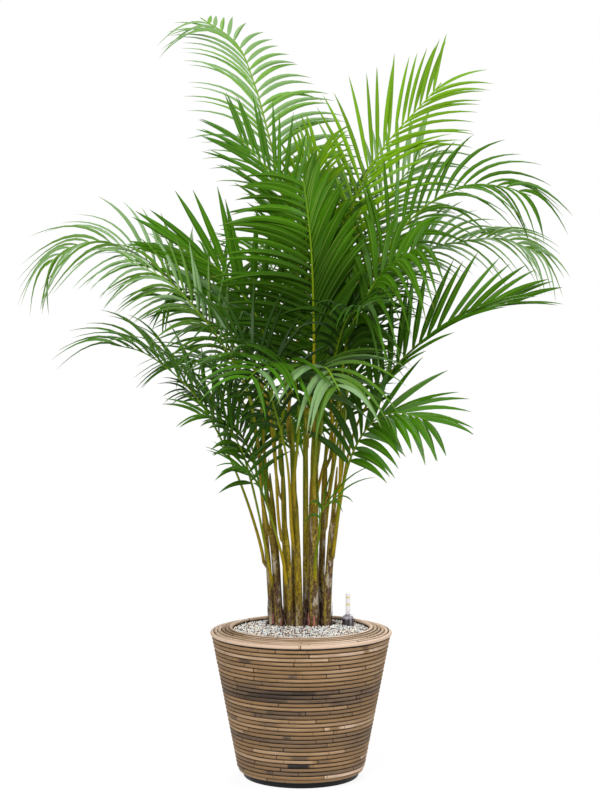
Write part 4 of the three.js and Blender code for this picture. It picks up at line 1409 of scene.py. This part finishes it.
class PALM_OT_gauge(bpy.types.Operator):
    """Makes the water gauge: its cap, its clear tube with two marks, and its red float"""

    bl_idname = "palm.gauge"
    bl_label = "Add water gauge"

    def execute(self, context):
        cap = turned([
            (0, 328), (14, 328), (14, 358.5), (13.4, 359.6), (13.7, 360.4), (13.7, 362),
            (12.6, 364.6), (10.4, 366.6), (7.4, 368.2), (6.4, 369), (6.1, 370), (0, 370),
        ], 48, GAUGE_AT)
        make_piece(cap, "gauge_foot_and_dome", ["gauge_cap"], self.cap_finish())
        tube = turned([
            (3, 370.4), (5.1, 370.4), (5.1, 418.4), (4.7, 419.5), (3.8, 420), (0, 420),
            (0, 377.4), (3, 377.4), (3, 370.4),
        ], 32, GAUGE_AT)
        make_piece(tube, "gauge_clear_tube", ["gauge_tube"], self.tube_finish())
        tip = turned([(0, 371.5), (2.6, 371.5), (2.6, 376.4), (2, 377), (0, 377)], 24, GAUGE_AT)
        make_piece(tip, "gauge_red_float", ["gauge_float"], self.float_finish())
        return {"FINISHED"}

    def cap_finish(self):
        """A dark purple-brown foot under a smoky grey dome."""
        finish = Finish("gauge cap")
        height = finish.axis("Z")
        skin = finish.mixed(height.step(0.3595, 0.3605), linear("#2d2329"), linear("#8d8791"))
        skin = finish.mixed(height.step(0.365, 0.369) * 0.5, skin, linear("#5a525c"))
        return finish.plain(Base_Color=skin, Roughness=0.28, Coat_Weight=0.3)

    def tube_finish(self):
        """Milky clear plastic with two yellow marks."""
        finish = Finish("gauge tube")
        height = finish.axis("Z")
        mark = height.step(0.392, 0.3925) - height.step(0.3945, 0.395)
        mark = mark + height.step(0.409, 0.4095) - height.step(0.4115, 0.412)
        skin = finish.mixed(mark.clamped(), linear("#eceaec"), linear("#d8c23a"))
        return finish.plain(Base_Color=skin, Roughness=0.16, Alpha=0.62 + mark.clamped() * 0.3)

    def float_finish(self):
        """Smooth red plastic with a faint mottle."""
        finish = Finish("gauge red")
        red = linear("#c23a22")
        deep = [channel * 0.8 for channel in red]
        mottle = finish.noise(finish.place(), 300)
        return finish.plain(Base_Color=finish.mixed(mottle, deep, red), Roughness=0.4 + mottle * 0.08)


# ---- Studio -----------------------------------------------------------------------------------

FLOOR_R = 1.6
FLOOR_GLOW = 0.92  # the floor shines by itself, so that it stays as white as the surroundings
FLOOR_GREY = (0.12, 0.12, 0.12)  # what it gives back of the lamps' light, which shows the shadow
EYE = (-0.0024, -4.16, 1.038)
HORIZON_SHIFT = -0.0813  # the photograph's horizon lies above its middle

# Each lamp's name, place, the height it is turned to, its width, and its share of the key's power.
LAMPS = (
    ("key light", (-1.6, -3.0, 3.2), 0.95, 2.6, 1),
    ("right light", (3.0, -1.6, 1.8), 0.9, 2.2, 0.4),
    ("back light", (0.8, 2.8, 3.0), 1.1, 2.2, 0.6),
)


class PALM_OT_studio(bpy.types.Operator):
    """Sets up the plain floor, the white surroundings, the soft lights and the camera"""

    bl_idname = "palm.studio"
    bl_label = "Add studio"

    def execute(self, context):
        studio = context.scene.palm_studio
        scene = context.scene
        scene.view_settings.view_transform = "Standard"
        self.add_floor(studio)
        self.add_surroundings(studio)
        for name, place, goal_z, size, share in LAMPS:
            self.add_light(name, place, goal_z, size, studio.key * share)
        camera = bpy.data.cameras.new("camera")
        camera.lens = studio.lens
        camera.shift_y = HORIZON_SHIFT
        eye = bpy.data.objects.new("camera", camera)
        eye.location = EYE
        eye.rotation_euler = (math.pi / 2, 0, 0)
        scene.collection.objects.link(eye)
        scene.camera = eye
        return {"FINISHED"}

    def add_floor(self, studio):
        bm = bmesh.new()
        bmesh.ops.create_circle(bm, cap_ends=True, segments=96, radius=FLOOR_R)
        mesh = bpy.data.meshes.new("floor")
        bm.to_mesh(mesh)
        bm.free()
        finish = Finish("floor")
        mesh.materials.append(finish.plain(
            Base_Color=four(FLOOR_GREY), Emission_Color=four(studio.floor), Emission_Strength=FLOOR_GLOW,
            Specular_IOR_Level=0, Roughness=0.9,
        ))
        floor = bpy.data.objects.new("floor", mesh)
        bpy.context.scene.collection.objects.link(floor)

    def add_surroundings(self, studio):
        world = bpy.data.worlds.new("surroundings")
        world.use_nodes = True
        nodes = world.node_tree.nodes
        background = nodes["Background"]
        background.inputs["Color"].default_value = (1, 1, 1, 1)
        path = nodes.new("ShaderNodeLightPath")
        strength = nodes.new("ShaderNodeMapRange")
        strength.inputs["To Min"].default_value = studio.sky
        strength.inputs["To Max"].default_value = 1
        world.node_tree.links.new(path.outputs["Is Camera Ray"], strength.inputs["Value"])
        world.node_tree.links.new(strength.outputs[0], background.inputs["Strength"])
        bpy.context.scene.world = world

    def add_light(self, name, place, goal_z, size, power):
        lamp = bpy.data.lights.new(name, "AREA")
        lamp.size = size
        lamp.energy = power
        light = bpy.data.objects.new(name, lamp)
        light.location = place
        light.rotation_euler = (UP * goal_z - Vector(place)).to_track_quat("-Z", "Y").to_euler()
        bpy.context.scene.collection.objects.link(light)


# ---- Add-on -----------------------------------------------------------------------------------

GROUPS = {
    "palm_planter": PALM_PG_planter,
    "palm_plant": PALM_PG_plant,
    "palm_studio": PALM_PG_studio,
}

MAKERS = (
    PALM_OT_tub, PALM_OT_wall, PALM_OT_rim, PALM_OT_soil, PALM_OT_gravel,
    PALM_OT_gauge, PALM_OT_canes, PALM_OT_fronds, PALM_OT_studio,
)


class PALM_PT_panel(bpy.types.Panel):
    """Lists the makers of the potted palm and their settings"""

    bl_label = "Potted Palm"
    bl_space_type = "VIEW_3D"
    bl_region_type = "UI"
    bl_category = "Potted Palm"

    def draw(self, context):
        for maker in MAKERS:
            self.layout.operator(maker.bl_idname)
        for group in GROUPS:
            settings = getattr(context.scene, group)
            box = self.layout.box()
            for name in settings.bl_rna.properties.keys():
                if name not in ("rna_type", "name"):
                    box.prop(settings, name)


def register():
    for cls in (*GROUPS.values(), *MAKERS, PALM_PT_panel):
        bpy.utils.register_class(cls)
    for name, cls in GROUPS.items():
        setattr(bpy.types.Scene, name, PointerProperty(type=cls))


def unregister():
    for name in GROUPS:
        delattr(bpy.types.Scene, name)
    for cls in reversed((*GROUPS.values(), *MAKERS, PALM_PT_panel)):
        bpy.utils.unregister_class(cls)


def main():
    register()
    for maker in MAKERS:
        family, action = maker.bl_idname.split(".")
        getattr(getattr(bpy.ops, family), action)()


if __name__ == "__main__":
    main()
